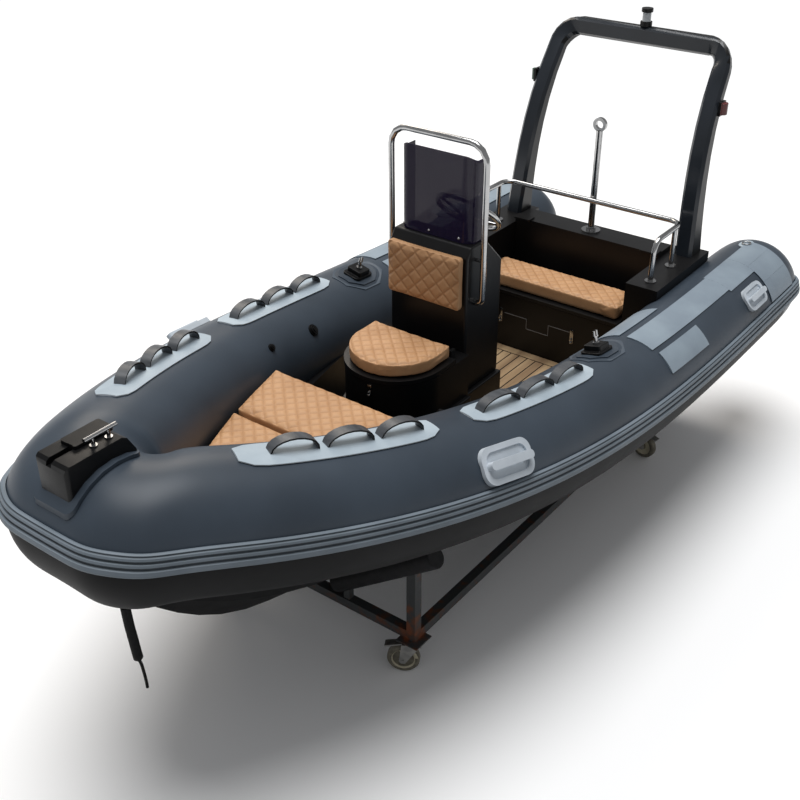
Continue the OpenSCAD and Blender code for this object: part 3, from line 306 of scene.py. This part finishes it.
def new_piece(name, bm, finishes):
    mesh = bpy.data.meshes.new(name)
    bm.to_mesh(mesh)
    bm.free()
    piece = bpy.data.objects.new(name, mesh)
    scene.collection.objects.link(piece)
    for finish in finishes:
        mesh.materials.append(finish)
    return piece


def shade_by_angle(bm, degrees):
    limit = math.radians(degrees)
    for face in bm.faces:
        face.smooth = True
    for edge in bm.edges:
        edge.smooth = edge.calc_face_angle(math.pi) < limit


def merged_copy(node):
    bm = bmesh.new()
    bm.from_mesh(nodes[node].data)
    bmesh.ops.remove_doubles(bm, verts=bm.verts, dist=1e-5)
    return bm


def crease_sharp(bm, degrees):
    """Joins triangles into quads and creases the edges that subdivision has to keep."""
    bmesh.ops.join_triangles(bm, faces=bm.faces, angle_face_threshold=math.radians(QUAD_FACE_DEG),
                             angle_shape_threshold=math.radians(QUAD_SHAPE_DEG))
    crease = bm.edges.layers.float.new("crease_edge")
    for edge in bm.edges:
        edge[crease] = 1.0 if edge.calc_face_angle(math.pi) > math.radians(degrees) else 0.0


def dress(node, body, finishes, angle=35, bevel=0.0, choose=None, curved=False, mark=None):
    """A smooth copy that stands for a node.

    choose gives the index of each face's finish, curved rounds a sweep's facets, and mark
    writes an attribute that the finish reads.
    """
    bm = merged_copy(node)
    if mark:
        mark(bm)
    if curved:
        crease_sharp(bm, CREASE_DEG)
    if bevel:
        bmesh.ops.dissolve_limit(bm, angle_limit=math.radians(FLAT_DEG), verts=bm.verts,
                                 edges=bm.edges)
    shade_by_angle(bm, angle)
    if choose:
        for face in bm.faces:
            face.material_index = choose(face)
    piece = new_piece("dressed_" + node, bm, finishes)
    if bevel:
        rounding = piece.modifiers.new("rounding", "BEVEL")
        rounding.width = bevel
        rounding.segments = 3
        rounding.limit_method = "ANGLE"
        rounding.angle_limit = math.radians(BEVEL_DEG)
        rounding.harden_normals = True
    if curved:
        rounds = piece.modifiers.new("rounds", "SUBSURF")
        rounds.levels = 2
        rounds.render_levels = 2
    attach(piece, body)
    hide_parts(node)
    return piece


def add_trim(name, bm, finishes, angle=35, body=BOAT):
    """A small piece that the construction leaves out."""
    bmesh.ops.recalc_face_normals(bm, faces=bm.faces)
    shade_by_angle(bm, angle)
    piece = new_piece(name, bm, finishes)
    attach(piece, body)
    return piece


print("dressing", len(nodes), "nodes")

# %% [markdown]
# ## The painter
# A short rope hangs from the bow eye, its upper part in a thick woven sleeve. It is the one free
# cord, so it comes first. It follows the route that the construction holds: a smooth curve is
# drawn through those points.

# %% Rope and sleeve
ROPE_ROUTE = [(1.695, 0, 0.680), (1.694, 0.001, 0.650), (1.692, 0.002, 0.600),
              (1.687, 0.004, 0.530), (1.681, 0.006, 0.452), (1.676, 0.010, 0.420),
              (1.672, 0.011, 0.380), (1.671, 0.014, 0.345), (1.674, 0.020, 0.318)]
ROPE_D = 0.011
SLEEVE_D = 0.034
SLEEVE_END_Z = 0.450
STEPS_PER_SPAN = 3


def smooth_route(points):
    """Points of a Catmull-Rom curve through the given ones."""
    ends = [Vector(p) for p in (points[0], *points, points[-1])]
    route = []
    for p0, p1, p2, p3 in zip(ends, ends[1:], ends[2:], ends[3:]):
        for step in range(STEPS_PER_SPAN):
            t = step / STEPS_PER_SPAN
            route.append(0.5 * (2 * p1 + (p2 - p0) * t + (2 * p0 - 5 * p1 + 4 * p2 - p3) * t ** 2
                                + (3 * p1 - p0 - 3 * p2 + p3) * t ** 3))
    return route + [ends[-1]]


def route_length(points):
    return sum((b - a).length for a, b in zip(points, points[1:]))


def rope_curve(name, points, radii, finish):
    curve = bpy.data.curves.new(name, "CURVE")
    curve.dimensions = "3D"
    curve.bevel_depth = 1.0
    curve.bevel_resolution = 4
    curve.use_fill_caps = True
    spline = curve.splines.new("POLY")
    spline.points.add(len(points) - 1)
    for point, at, radius in zip(spline.points, points, radii):
        point.co = (*at, 1.0)
        point.radius = radius
    curve.materials.append(finish)
    rope = bpy.data.objects.new(name, curve)
    scene.collection.objects.link(rope)
    return rope


painter_route = smooth_route(ROPE_ROUTE)
painter_radii = [SLEEVE_D / 2 if at.z > SLEEVE_END_Z else ROPE_D / 2 for at in painter_route]
painter = rope_curve("painter", painter_route, painter_radii, rope_fibre)
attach(painter, BOAT)
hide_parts("painter_rope")
print("painter", len(painter_route), "points", round(route_length(painter_route), 3), "m")

# %% [markdown]
# ## Where things lie on the tube
# Trim on the tube and the line between its two fabrics both need the tube's own coordinates: how
# far along, how high round the section, how far off the skin. The sides taper by a power law into
# the bow, and the bow turns round a pivot on the centre line.

# %% The tube's own coordinates
TUBE_R, TUBE_Y, TUBE_Z = 0.230, 0.670, 0.690
TAPER_X, BOW_X = -0.900, 1.930
SHEER_X, SHEER = -1.2, 0.0447
BOW_TURN = math.radians(31)
FAN_TURN = math.pi / 2 - BOW_TURN
FAN_IN, BOW_ROUND = 0.014, 1.07
PIVOT_X = BOW_X - 2 * TUBE_R
SIDE_X1 = PIVOT_X + TUBE_R * math.sin(BOW_TURN)
BOW_Y = TUBE_R * math.cos(BOW_TURN)
TAPER_N = math.tan(BOW_TURN) * (SIDE_X1 - TAPER_X) / (TUBE_Y - BOW_Y)


def tube_axis(x):
    """Middle of the port tube at x, and its two slopes."""
    share = max(0.0, (x - TAPER_X) / (SIDE_X1 - TAPER_X))
    rise = max(0.0, x - SHEER_X)
    y = TUBE_Y - (TUBE_Y - BOW_Y) * share ** TAPER_N
    dy = 0.0
    if share:
        dy = -(TUBE_Y - BOW_Y) * TAPER_N / (SIDE_X1 - TAPER_X) * share ** (TAPER_N - 1)
    return y, TUBE_Z + SHEER * rise ** 2, dy, 2 * SHEER * rise


def place_on_tube(point):
    """Height off the skin and angle above level, seen from outboard, of a point near the tube."""
    flat = Vector((point.x - PIVOT_X, abs(point.y)))
    turn = math.atan2(flat.y, flat.x)
    if flat.x > 0 and turn < FAN_TURN:
        reach = 2 * TUBE_R * min(1 / math.cos(turn), 1 / math.cos(FAN_TURN - turn), BOW_ROUND)
        out = (flat.length - (reach + FAN_IN) / 2) / ((reach - FAN_IN) / 2)
        high = (point.z - tube_axis(SIDE_X1)[1]) / TUBE_R
        return (math.hypot(out, high) - 1) * TUBE_R, math.degrees(math.atan2(high, out))
    x = point.x
    for step in range(6):
        y, z, dy, dz = tube_axis(x)
        ahead_by = (point.x - x) + (abs(point.y) - y) * dy + (point.z - z) * dz
        x = min(x + ahead_by / (1 + dy * dy + dz * dz), SIDE_X1)
    y, z, dy, dz = tube_axis(x)
    away = Vector((point.x - x, abs(point.y) - y, point.z - z))
    outboard = Vector((-dy, 1, 0)).normalized()
    upward = Vector((1, dy, dz)).normalized().cross(outboard)
    out, high = away.dot(outboard), away.dot(upward)
    return math.hypot(out, high) - TUBE_R, math.degrees(math.atan2(high, out))


def seat_on_tube(bm, x, degrees, side):
    """Bends flat work onto one side of the tube: x along the boat, y round it, z off the skin."""
    for vert in bm.verts:
        along, round_by, lift = vert.co
        y, z, dy, dz = tube_axis(x + along)
        out = Vector((-dy, 1, 0)).normalized()
        high = Vector((1, dy, dz)).normalized().cross(out)
        angle = math.radians(degrees) + round_by / TUBE_R
        radial = out * math.cos(angle) + high * math.sin(angle)
        at = Vector((x + along, y, z)) + radial * (TUBE_R + lift)
        vert.co = (at.x, side * at.y, at.z)


print("tube axis at the pivot", [round(v, 3) for v in tube_axis(PIVOT_X)])

# %% [markdown]
# ## Tube, strake and patches
# The fabric of the tube is charcoal. Below the rub strake, on the outboard side only, it is painted
# black as shade. The strake has painted shade in its grooves, darker than its crests. Patches have
# a pale raised welt for an edge, and the webbing loops have painted shade on their faces that turn
# level to the side. The round tails stay charcoal all over.

# %% Dress the tube group
TAIL_CAP_X = -1.70
UNDER_FROM_DEG, UNDER_TO_DEG, UNDER_TO_BOW_DEG = -115, 9, 15
FLANGE_T = 0.0125


# Faces below the strake on the outboard side, which take the painted shade.
def is_under(face):
    middle = face.calc_center_median()
    limit = UNDER_TO_DEG if middle.x < SIDE_X1 else UNDER_TO_BOW_DEG
    under = UNDER_FROM_DEG < place_on_tube(middle)[1] < limit
    return 1 if middle.x > TAIL_CAP_X and under else 0


# The ridge mark sets where the strake's painted shade falls: in its grooves.
def mark_ridges(bm):
    """Marks the corners that stand proud with 1 and the corners of grooves with 0."""
    ridge = bm.verts.layers.float.new("ridge")
    for vert in bm.verts:
        bend = sum(edge.calc_face_angle_signed(0.0) for edge in vert.link_edges)
        vert[ridge] = 1.0 if bend > 0 else 0.0


def is_flange(face):
    return 1 if place_on_tube(face.calc_center_median())[0] < FLANGE_T else 0


def is_rim(face):
    middle = face.calc_center_median()
    y, z = tube_axis(middle.x)[:2]
    radial = Vector((0, middle.y - math.copysign(y, middle.y), middle.z - z)).normalized()
    return 1 if face.normal.dot(radial) < 0.7 else 0


# Faces turned level to the side, which take the webbing's painted shade.
def is_edge(face):
    return 1 if abs(face.normal.z) < 0.35 and abs(face.normal.y) > 0.6 else 0


dress("inflatable_tube", BOAT, [tube_fabric, painted_shade_fabric], 60, choose=is_under,
      curved=True)
dress("rub_strake", BOAT, [strake_rubber], 40, curved=True, mark=mark_ridges)
dress("side_panels", BOAT, [panel_fabric], 40)
dress("grab_patches", BOAT, [patch_fabric, welt_rubber], 40, choose=is_rim)
dress("grab_loops", BOAT, [webbing, webbing_painted_shade], 50, choose=is_edge)
dress("lifting_handles", BOAT, [handle_rubber], 40, 0.005)
dress("oarlocks", BOAT, [black_moulding], 40, 0.003)
dress("oarlock_pins", BOAT, [stainless], 40)
print("tube dressed")

# %% [markdown]
# Small trim sits on the same skin: the doubled eight-sided patches under the oarlocks, the
# inflation valves on the inner sides and a ring on an oval patch at each tail. Each starts flat
# and is then bent onto the tube.

# %% Patches, valves and tail rings
LOCK_X, LOCK_DEG = -0.235, 104
VALVES = [(0.283, 143.5, 0.027), (0.590, 140.2, 0.017)]
VALVE_STEPS = ((1.0, -0.003, 0.004), (0.72, 0.003, 0.011), (0.4, 0.010, 0.014))
RING_X, RING_DEG = -1.690, 96
RING_R, RING_WIRE_R, RING_LIFT = 0.020, 0.003, 0.0065
SUNK = 0.002


def flat_patch(rx, ry, sides, thick):
    """A flat plate of some number of sides, sunk a little into the skin and cut up for bending."""
    bm = bmesh.new()
    bmesh.ops.create_circle(bm, cap_ends=True, segments=sides, radius=1.0,
                            matrix=Matrix.Rotation(math.pi / sides, 4, "Z"))
    bmesh.ops.scale(bm, vec=(rx, ry, 1), verts=bm.verts)
    bmesh.ops.translate(bm, vec=(0, 0, -SUNK), verts=bm.verts)
    raised = bmesh.ops.extrude_face_region(bm, geom=list(bm.faces))
    top = [part for part in raised["geom"] if isinstance(part, bmesh.types.BMVert)]
    bmesh.ops.translate(bm, vec=(0, 0, thick + SUNK), verts=top)
    long_edges = [e for e in bm.edges if e.calc_length() > 0.02]
    bmesh.ops.subdivide_edges(bm, edges=long_edges, cuts=4, use_grid_fill=True)
    bmesh.ops.triangulate(bm, faces=bm.faces)
    return bm


for side, word in ((1, "port"), (-1, "starboard")):
    for step, (rx, ry) in enumerate(((0.150, 0.105), (0.115, 0.080))):
        bm = flat_patch(rx, ry, 8, 0.0015 * (step + 1))
        seat_on_tube(bm, LOCK_X, LOCK_DEG, side)
        finish = seam_tape if step == 0 else tube_fabric
        add_trim(f"oarlock_patch_{step}_{word}", bm, [finish])
    for number, (x, degrees, radius) in enumerate(VALVES):
        bm = bmesh.new()
        for share, low, high in VALVE_STEPS:
            bmesh.ops.create_cone(bm, cap_ends=True, segments=24, radius1=radius * share,
                                  radius2=radius * share * 0.94, depth=high - low,
                                  matrix=Matrix.Translation((0, 0, (low + high) / 2)))
        seat_on_tube(bm, x, degrees, side)
        add_trim(f"valve_{number}_{word}", bm, [black_moulding])
    bm = flat_patch(0.046, 0.034, 20, 0.003)
    seat_on_tube(bm, RING_X, RING_DEG, side)
    add_trim(f"tail_patch_{word}", bm, [patch_fabric])
    bm = bmesh.new()
    upright = Matrix.Translation((RING_R, 0, 0)) @ Matrix.Rotation(math.pi / 2, 4, "X")
    bmesh.ops.create_circle(bm, segments=10, radius=RING_WIRE_R, matrix=upright)
    bmesh.ops.spin(bm, geom=list(bm.edges), cent=(0, 0, 0), axis=(0, 0, 1), angle=2 * math.pi,
                   steps=28, use_merge=True)
    bmesh.ops.translate(bm, vec=(0, 0, RING_LIFT), verts=bm.verts)
    seat_on_tube(bm, RING_X, RING_DEG, side)
    add_trim(f"tail_ring_{word}", bm, [stainless], 60)
print("tube trim added")

# %% [markdown]
# ## Hull, deck and console
# These are black gelcoat mouldings with rounded edges. The hull's outside is duller than the
# mouldings on board, and the bow step's flange is covered in the fabric of the tube.

# %% Dress the mouldings
def is_bottom(face):
    middle = face.calc_center_median()
    return 1 if face.normal.z < 0.3 and face.normal.y * middle.y > -0.001 else 0


def is_front(face):
    return 0 if face.normal.x > 0.55 else 1


def is_groove(face):
    return 1 if face.calc_center_median().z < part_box("teak_floor")[1].z - 0.001 else 0


dress("hull", BOAT, [gelcoat, bottom_paint], 30, choose=is_bottom)
dress("transom", BOAT, [bottom_paint], 30, 0.006)
dress("console_plinth", BOAT, [gelcoat], 30, 0.006)
dress("console", BOAT, [gelcoat], 30, 0.014)
dress("seat_locker", BOAT, [gelcoat], 30, 0.004)
dress("seat_lid", "seat_lid_body", [gelcoat], 30, 0.004)
dress("bench_locker", BOAT, [gelcoat], 30, 0.004)
dress("bench_lid", "bench_lid_body", [gelcoat], 30, 0.004)
dress("stern_deck", BOAT, [gelcoat], 30, 0.008)
dress("bow_step", BOAT, [black_moulding, tube_fabric], 30, 0.006,
      choose=is_flange)
dress("roll_bar", BOAT, [bar_front, gelcoat], 40, choose=is_front)
dress("teak_floor", BOAT, [teak, caulk], 30, choose=is_groove)
print("mouldings dressed")

# %% [markdown]
# ## Metalwork, lamps, cradle
# Polished stainless on board, dark steel with rust at the welds and zinc below. The lamps keep a
# dark base and cap round the lens.

# %% Dress the metalwork
LENS_FROM_Z, LENS_TO_Z = 0.0225, 0.0635
SIDE_LENS_DEPTH = 0.0215


def lamp_part(face):
    height = face.calc_center_median().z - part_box("masthead_light")[0].z
    return 0 if LENS_FROM_Z < height < LENS_TO_Z else 1


def side_lamp_part(face):
    middle = face.calc_center_median()
    if abs(middle.y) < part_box("side_lights")[1].y - SIDE_LENS_DEPTH:
        return 0
    return 1 if middle.y > 0 else 2


for node in ("bow_cleat", "bow_eye", "console_hoop", "stern_rail", "tow_post"):
    dress(node, BOAT, [stainless], 40)
dress("steering_wheel", "helm", [stainless], 40)
dress("windshield", BOAT, [tint], 30)
dress("masthead_light", BOAT, [white_lens, black_moulding], 40, 0.002, choose=lamp_part)
dress("side_lights", BOAT, [black_moulding, red_lens, green_lens], 40, 0.002,
      choose=side_lamp_part)
dress("cradle_frame", BOAT, [rusty_steel], 30, 0.003)
dress("cradle_bunks", BOAT, [bunk_foam], 40, 0.006)
for corner in ("front_port", "front_starboard", "rear_port", "rear_starboard"):
    wheel = "caster_wheel_" + corner
    wheel_middle = sum(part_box(wheel), Vector()) / 2

    def is_tread(face):
        outward = (face.calc_center_median() - wheel_middle).normalized()
        return 1 if face.normal.dot(outward) > 0.8 else 0

    dress("caster_fork_" + corner, "fork_" + corner, [zinc], 35, 0.0015)
    dress(wheel, "wheel_" + corner, [cream_nylon, worn_tread], 35, 0.002,
          choose=is_tread)
print("metalwork dressed")

# %% [markdown]
# Latches hold both lockers, screws hold the screen along its foot, and a pale strip along a stepped
# seam shows where the bench front opens: a painted highlight on the lid's edge.

# %% Latches, screws and seam
SEAT_X, SEAT_R, SEAT_LATCH_TURN, SEAT_LATCH_Z = 0.255, 0.205, math.radians(7), 0.905
BENCH_FACE_X, BENCH_LATCH_Z = -0.910, 0.592
SCREW_Z = 1.396
SCREEN_SCREWS = [(0.0017, -0.150), (0.0103, -0.025), (0.0103, 0.115)]
BENCH_SEAM = [(-0.217, 0.607), (-0.095, 0.607), (-0.095, 0.555), (0.026, 0.555), (0.026, 0.610),
              (0.140, 0.610)]
SEAM_DEPTH, SEAM_W = 0.002, 0.003


def latch(length):
    """A hanging hasp, flat on the plane x = 0, with its staple and pin."""
    bm = bmesh.new()
    plate = Matrix.Translation((0.002, 0, 0)) @ Matrix.Diagonal((0.005, 0.018, length, 1))
    staple = Matrix.Translation((0.008, 0, -length * 0.2)) @ Matrix.Rotation(math.pi / 2, 4, "Y")
    pin = Matrix.Translation((0.008, 0, -length * 0.42))
    bmesh.ops.create_cube(bm, size=1.0, matrix=plate)
    bmesh.ops.bevel(bm, geom=list(bm.edges), offset=0.0015, segments=2, profile=0.5, affect="EDGES",
                    material=-1)
    bmesh.ops.create_cone(bm, cap_ends=True, segments=16, radius1=0.006, radius2=0.005,
                          depth=0.012, matrix=staple)
    bmesh.ops.create_uvsphere(bm, u_segments=12, v_segments=8, radius=0.007, matrix=pin)
    return bm


bm = latch(0.046)
reach, turn = SEAT_R + 0.001, SEAT_LATCH_TURN
latch_at = (SEAT_X + reach * math.cos(turn), reach * math.sin(turn), SEAT_LATCH_Z)
on_locker = Matrix.Translation(latch_at) @ Matrix.Rotation(turn, 4, "Z")
bmesh.ops.transform(bm, matrix=on_locker, verts=bm.verts)
add_trim("seat_latch", bm, [stainless])
for word, y in (("port", 0.155), ("starboard", -0.240)):
    bm = latch(0.070)
    bmesh.ops.translate(bm, vec=(BENCH_FACE_X, y, BENCH_LATCH_Z), verts=bm.verts)
    add_trim("bench_latch_" + word, bm, [stainless])
bm = bmesh.new()
for x, y in SCREEN_SCREWS:
    bmesh.ops.create_uvsphere(bm, u_segments=14, v_segments=8, radius=0.0055,
                              matrix=Matrix.Translation((x, y, SCREW_Z)))
add_trim("screen_screws", bm, [stainless], 60)
# Pale strips along the stepped seam of the bench front: a painted highlight.
bm = bmesh.new()
for (y0, z0), (y1, z1) in zip(BENCH_SEAM, BENCH_SEAM[1:]):
    size = (SEAM_DEPTH, abs(y1 - y0) + SEAM_W, abs(z1 - z0) + SEAM_W, 1)
    middle = Matrix.Translation((BENCH_FACE_X, (y0 + y1) / 2, (z0 + z1) / 2))
    bmesh.ops.create_cube(bm, size=1.0, matrix=middle @ Matrix.Diagonal(size))
add_trim("bench_seam_highlight", bm, [painted_seam_highlight])
print("locker trim added")

# %% [markdown]
# ## Cushions
# A cushion is foam in a sewn cover, so it is stuffed here too: a slightly smaller copy of the
# solid is remeshed into small cells, eased, and blown up as cloth with the swell capped. The
# cells are then halved and the diamond quilting is pressed in as real grooves.

# %% Stuffing and quilting
CELL = 0.006
SIM_FRAMES = 20
PRESSURE = 3.0
SHRINK, SWELL_CAP = 0.004, 0.006
QUILT_DEPTH, PUFF_W, SEAM_SHADE_W = 0.0035, 0.006, 0.003
SEAT_PITCH, BACK_PITCH = 0.056, 0.068


def mesh_of(piece):
    graph = bpy.context.evaluated_depsgraph_get()
    return bpy.data.meshes.new_from_object(piece.evaluated_get(graph))


def vectors(mesh, key):
    flat = np.empty(len(mesh.vertices) * 3, np.float32)
    mesh.vertices.foreach_get(key, flat)
    return flat.reshape(-1, 3).astype(float)


def with_modifier(piece, name, kind, **settings):
    """Swaps the mesh for one with a modifier applied."""
    modifier = piece.modifiers.new(name, kind)
    for key, value in settings.items():
        setattr(modifier, key, value)
    piece.data = mesh_of(piece)
    piece.modifiers.clear()


def stuffed(name, node, shrink, cap):
    """A remeshed, blown-up copy of a soft node."""
    low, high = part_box(node)
    middle = (low + high) / 2
    bm = merged_copy(node)
    bmesh.ops.translate(bm, verts=bm.verts, vec=-middle)
    bmesh.ops.scale(bm, verts=bm.verts,
                    vec=Vector([1 - 2 * shrink / max(s, 0.02) for s in high - low]))
    bmesh.ops.translate(bm, verts=bm.verts, vec=middle)
    pad = new_piece(name, bm, [tan_vinyl])
    with_modifier(pad, "cells", "REMESH", mode="VOXEL", voxel_size=CELL)
    with_modifier(pad, "ease", "SMOOTH", factor=0.5, iterations=4)
    before = vectors(pad.data, "co")
    cloth = pad.modifiers.new("stuffing", "CLOTH")
    cloth.settings.use_pressure = True
    cloth.settings.uniform_pressure_force = PRESSURE
    cloth.settings.effector_weights.gravity = 0.0
    cloth.point_cache.frame_end = SIM_FRAMES
    for step in range(1, SIM_FRAMES + 1):
        scene.frame_set(step)
    move = vectors(mesh_of(pad), "co") - before
    pad.modifiers.clear()
    scene.frame_set(1)
    far = np.linalg.norm(move, axis=1, keepdims=True)
    move *= np.minimum(1.0, cap / np.maximum(far, 1e-9))
    pad.data.vertices.foreach_set("co", (before + move).astype(np.float32).ravel())
    pad.data.update()
    with_modifier(pad, "halve", "SUBSURF", levels=1, render_levels=1)
    return pad


def quilt(pad, axes, pitch, depth, face_axis):
    """Presses diamond seams into the side that looks along face_axis; marks painted shade along the
    seams and a painted highlight on the rounded edges.
    """
    mesh = pad.data
    facing = vectors(mesh, "normal")[:, face_axis]
    where = vectors(mesh, "co")
    u, v = where[:, axes[0]] / pitch, where[:, axes[1]] / pitch
    groove = np.minimum(np.abs((u + v + 0.5) % 1 - 0.5), np.abs((u - v + 0.5) % 1 - 0.5))
    groove *= pitch / math.sqrt(2)
    puff = 1 - np.exp(-(groove / PUFF_W) ** 2)
    flat = np.clip((facing - 0.55) / 0.3, 0, 1)
    edge = np.clip(1 - np.abs(facing - 0.5) / 0.35, 0, 1)
    where[:, face_axis] -= depth * (1 - puff) * flat
    mesh.vertices.foreach_set("co", where.astype(np.float32).ravel())
    mark = mesh.attributes.new("painted_quilt_light", "FLOAT", "POINT")
    # Painted shade along the seams, and a painted highlight on the rounded edges.
    seam = np.exp(-(groove / SEAM_SHADE_W) ** 2) * flat
    level = 0.5 - 0.5 * seam + 0.5 * edge * (1 - flat)
    mark.data.foreach_set("value", level.astype(np.float32))
    mesh.polygons.foreach_set("use_smooth", np.ones(len(mesh.polygons), bool))
    mesh.update()


PADS = [("sun_pad_rear", BOAT, (0, 1), 2, SEAT_PITCH),
        ("sun_pad_front", BOAT, (0, 1), 2, SEAT_PITCH),
        ("seat_cushion", "seat_lid_body", (0, 1), 2, SEAT_PITCH),
        ("bench_cushion", "bench_lid_body", (0, 1), 2, SEAT_PITCH),
        ("console_backrest", BOAT, (1, 2), 0, BACK_PITCH)]
for node, body, axes, face_axis, pitch in PADS:
    pad = stuffed("stuffed_" + node, node, SHRINK, SWELL_CAP)
    quilt(pad, axes, pitch, QUILT_DEPTH, face_axis)
    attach(pad, body)
    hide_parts(node)
    print(pad.name, len(pad.data.polygons), "faces")

# %% [markdown]
# ## Stage
# A white floor and soft light from above, as in a plain studio, with a weaker warm panel behind
# the boat for the highlight along the tube. The floor is white to the eye and in reflections, but
# it throws back less light than white would, so that the underside of the boat stays dark. The
# backdrop is white to the camera only.

# %% Floor, lights and world
FLOOR_SEEN, FLOOR_BOUNCE = (0.98, 0.98, 0.98, 1), (0.3, 0.3, 0.3, 1)
WORLD_LEVEL, WORLD_SEEN = 0.32, 1.05
floor_bm = bmesh.new()
bmesh.ops.create_grid(floor_bm, x_segments=1, y_segments=1, size=40)
floor_finish = bpy.data.materials.new("floor_paint")
floor_finish.use_nodes = True
floor_tree = floor_finish.node_tree
floor_shader = floor_tree.nodes["Principled BSDF"]
floor_shader.inputs["Roughness"].default_value = 1.0
floor_shader.inputs["Specular IOR Level"].default_value = 0.0
ray_kind = floor_tree.nodes.new("ShaderNodeLightPath")
seen = ray_kind.outputs["Is Camera Ray"]
for kind in ("Is Glossy Ray", "Is Transmission Ray"):
    either = floor_tree.nodes.new("ShaderNodeMath")
    either.operation = "MAXIMUM"
    floor_tree.links.new(seen, either.inputs[0])
    floor_tree.links.new(ray_kind.outputs[kind], either.inputs[1])
    seen = either.outputs["Value"]
floor_colour = add_ramp(floor_tree, seen, [(0.0, FLOOR_BOUNCE), (1.0, FLOOR_SEEN)])
floor_tree.links.new(floor_colour, floor_shader.inputs["Base Color"])
floor = new_piece("floor", floor_bm, [floor_finish])


def add_lamp(name, kind, energy, at, toward):
    lamp = bpy.data.lights.new(name, kind)
    lamp.energy = energy
    stand = bpy.data.objects.new(name, lamp)
    facing = (Vector(toward) - Vector(at)).to_track_quat("-Z", "Y").to_matrix().to_4x4()
    stand.matrix_world = Matrix.Translation(at) @ facing
    scene.collection.objects.link(stand)
    return lamp


overhead = add_lamp("overhead", "SUN", 2.4, (-0.3, -0.6, 6.0), (0, 0, 0.8))
overhead.angle = math.radians(40)
back_panel = add_lamp("back_panel", "AREA", 80, (-2.2, -3.4, 4.6), (0.6, 0, 0.8))
back_panel.size = 2.5
back_panel.color = (1.0, 0.9, 0.78)
world = bpy.data.worlds.new("studio")
world.use_nodes = True
world_tree = world.node_tree
backdrop = world_tree.nodes["Background"]
backdrop.inputs["Color"].default_value = (0.97, 0.98, 1.0, 1)
world_ray = world_tree.nodes.new("ShaderNodeLightPath")
world_level = world_tree.nodes.new("ShaderNodeMapRange")
world_level.inputs["To Min"].default_value = WORLD_LEVEL
world_level.inputs["To Max"].default_value = WORLD_SEEN
world_tree.links.new(world_ray.outputs["Is Camera Ray"], world_level.inputs["Value"])
world_tree.links.new(world_level.outputs["Result"], backdrop.inputs["Strength"])
scene.world = world
print("stage set")
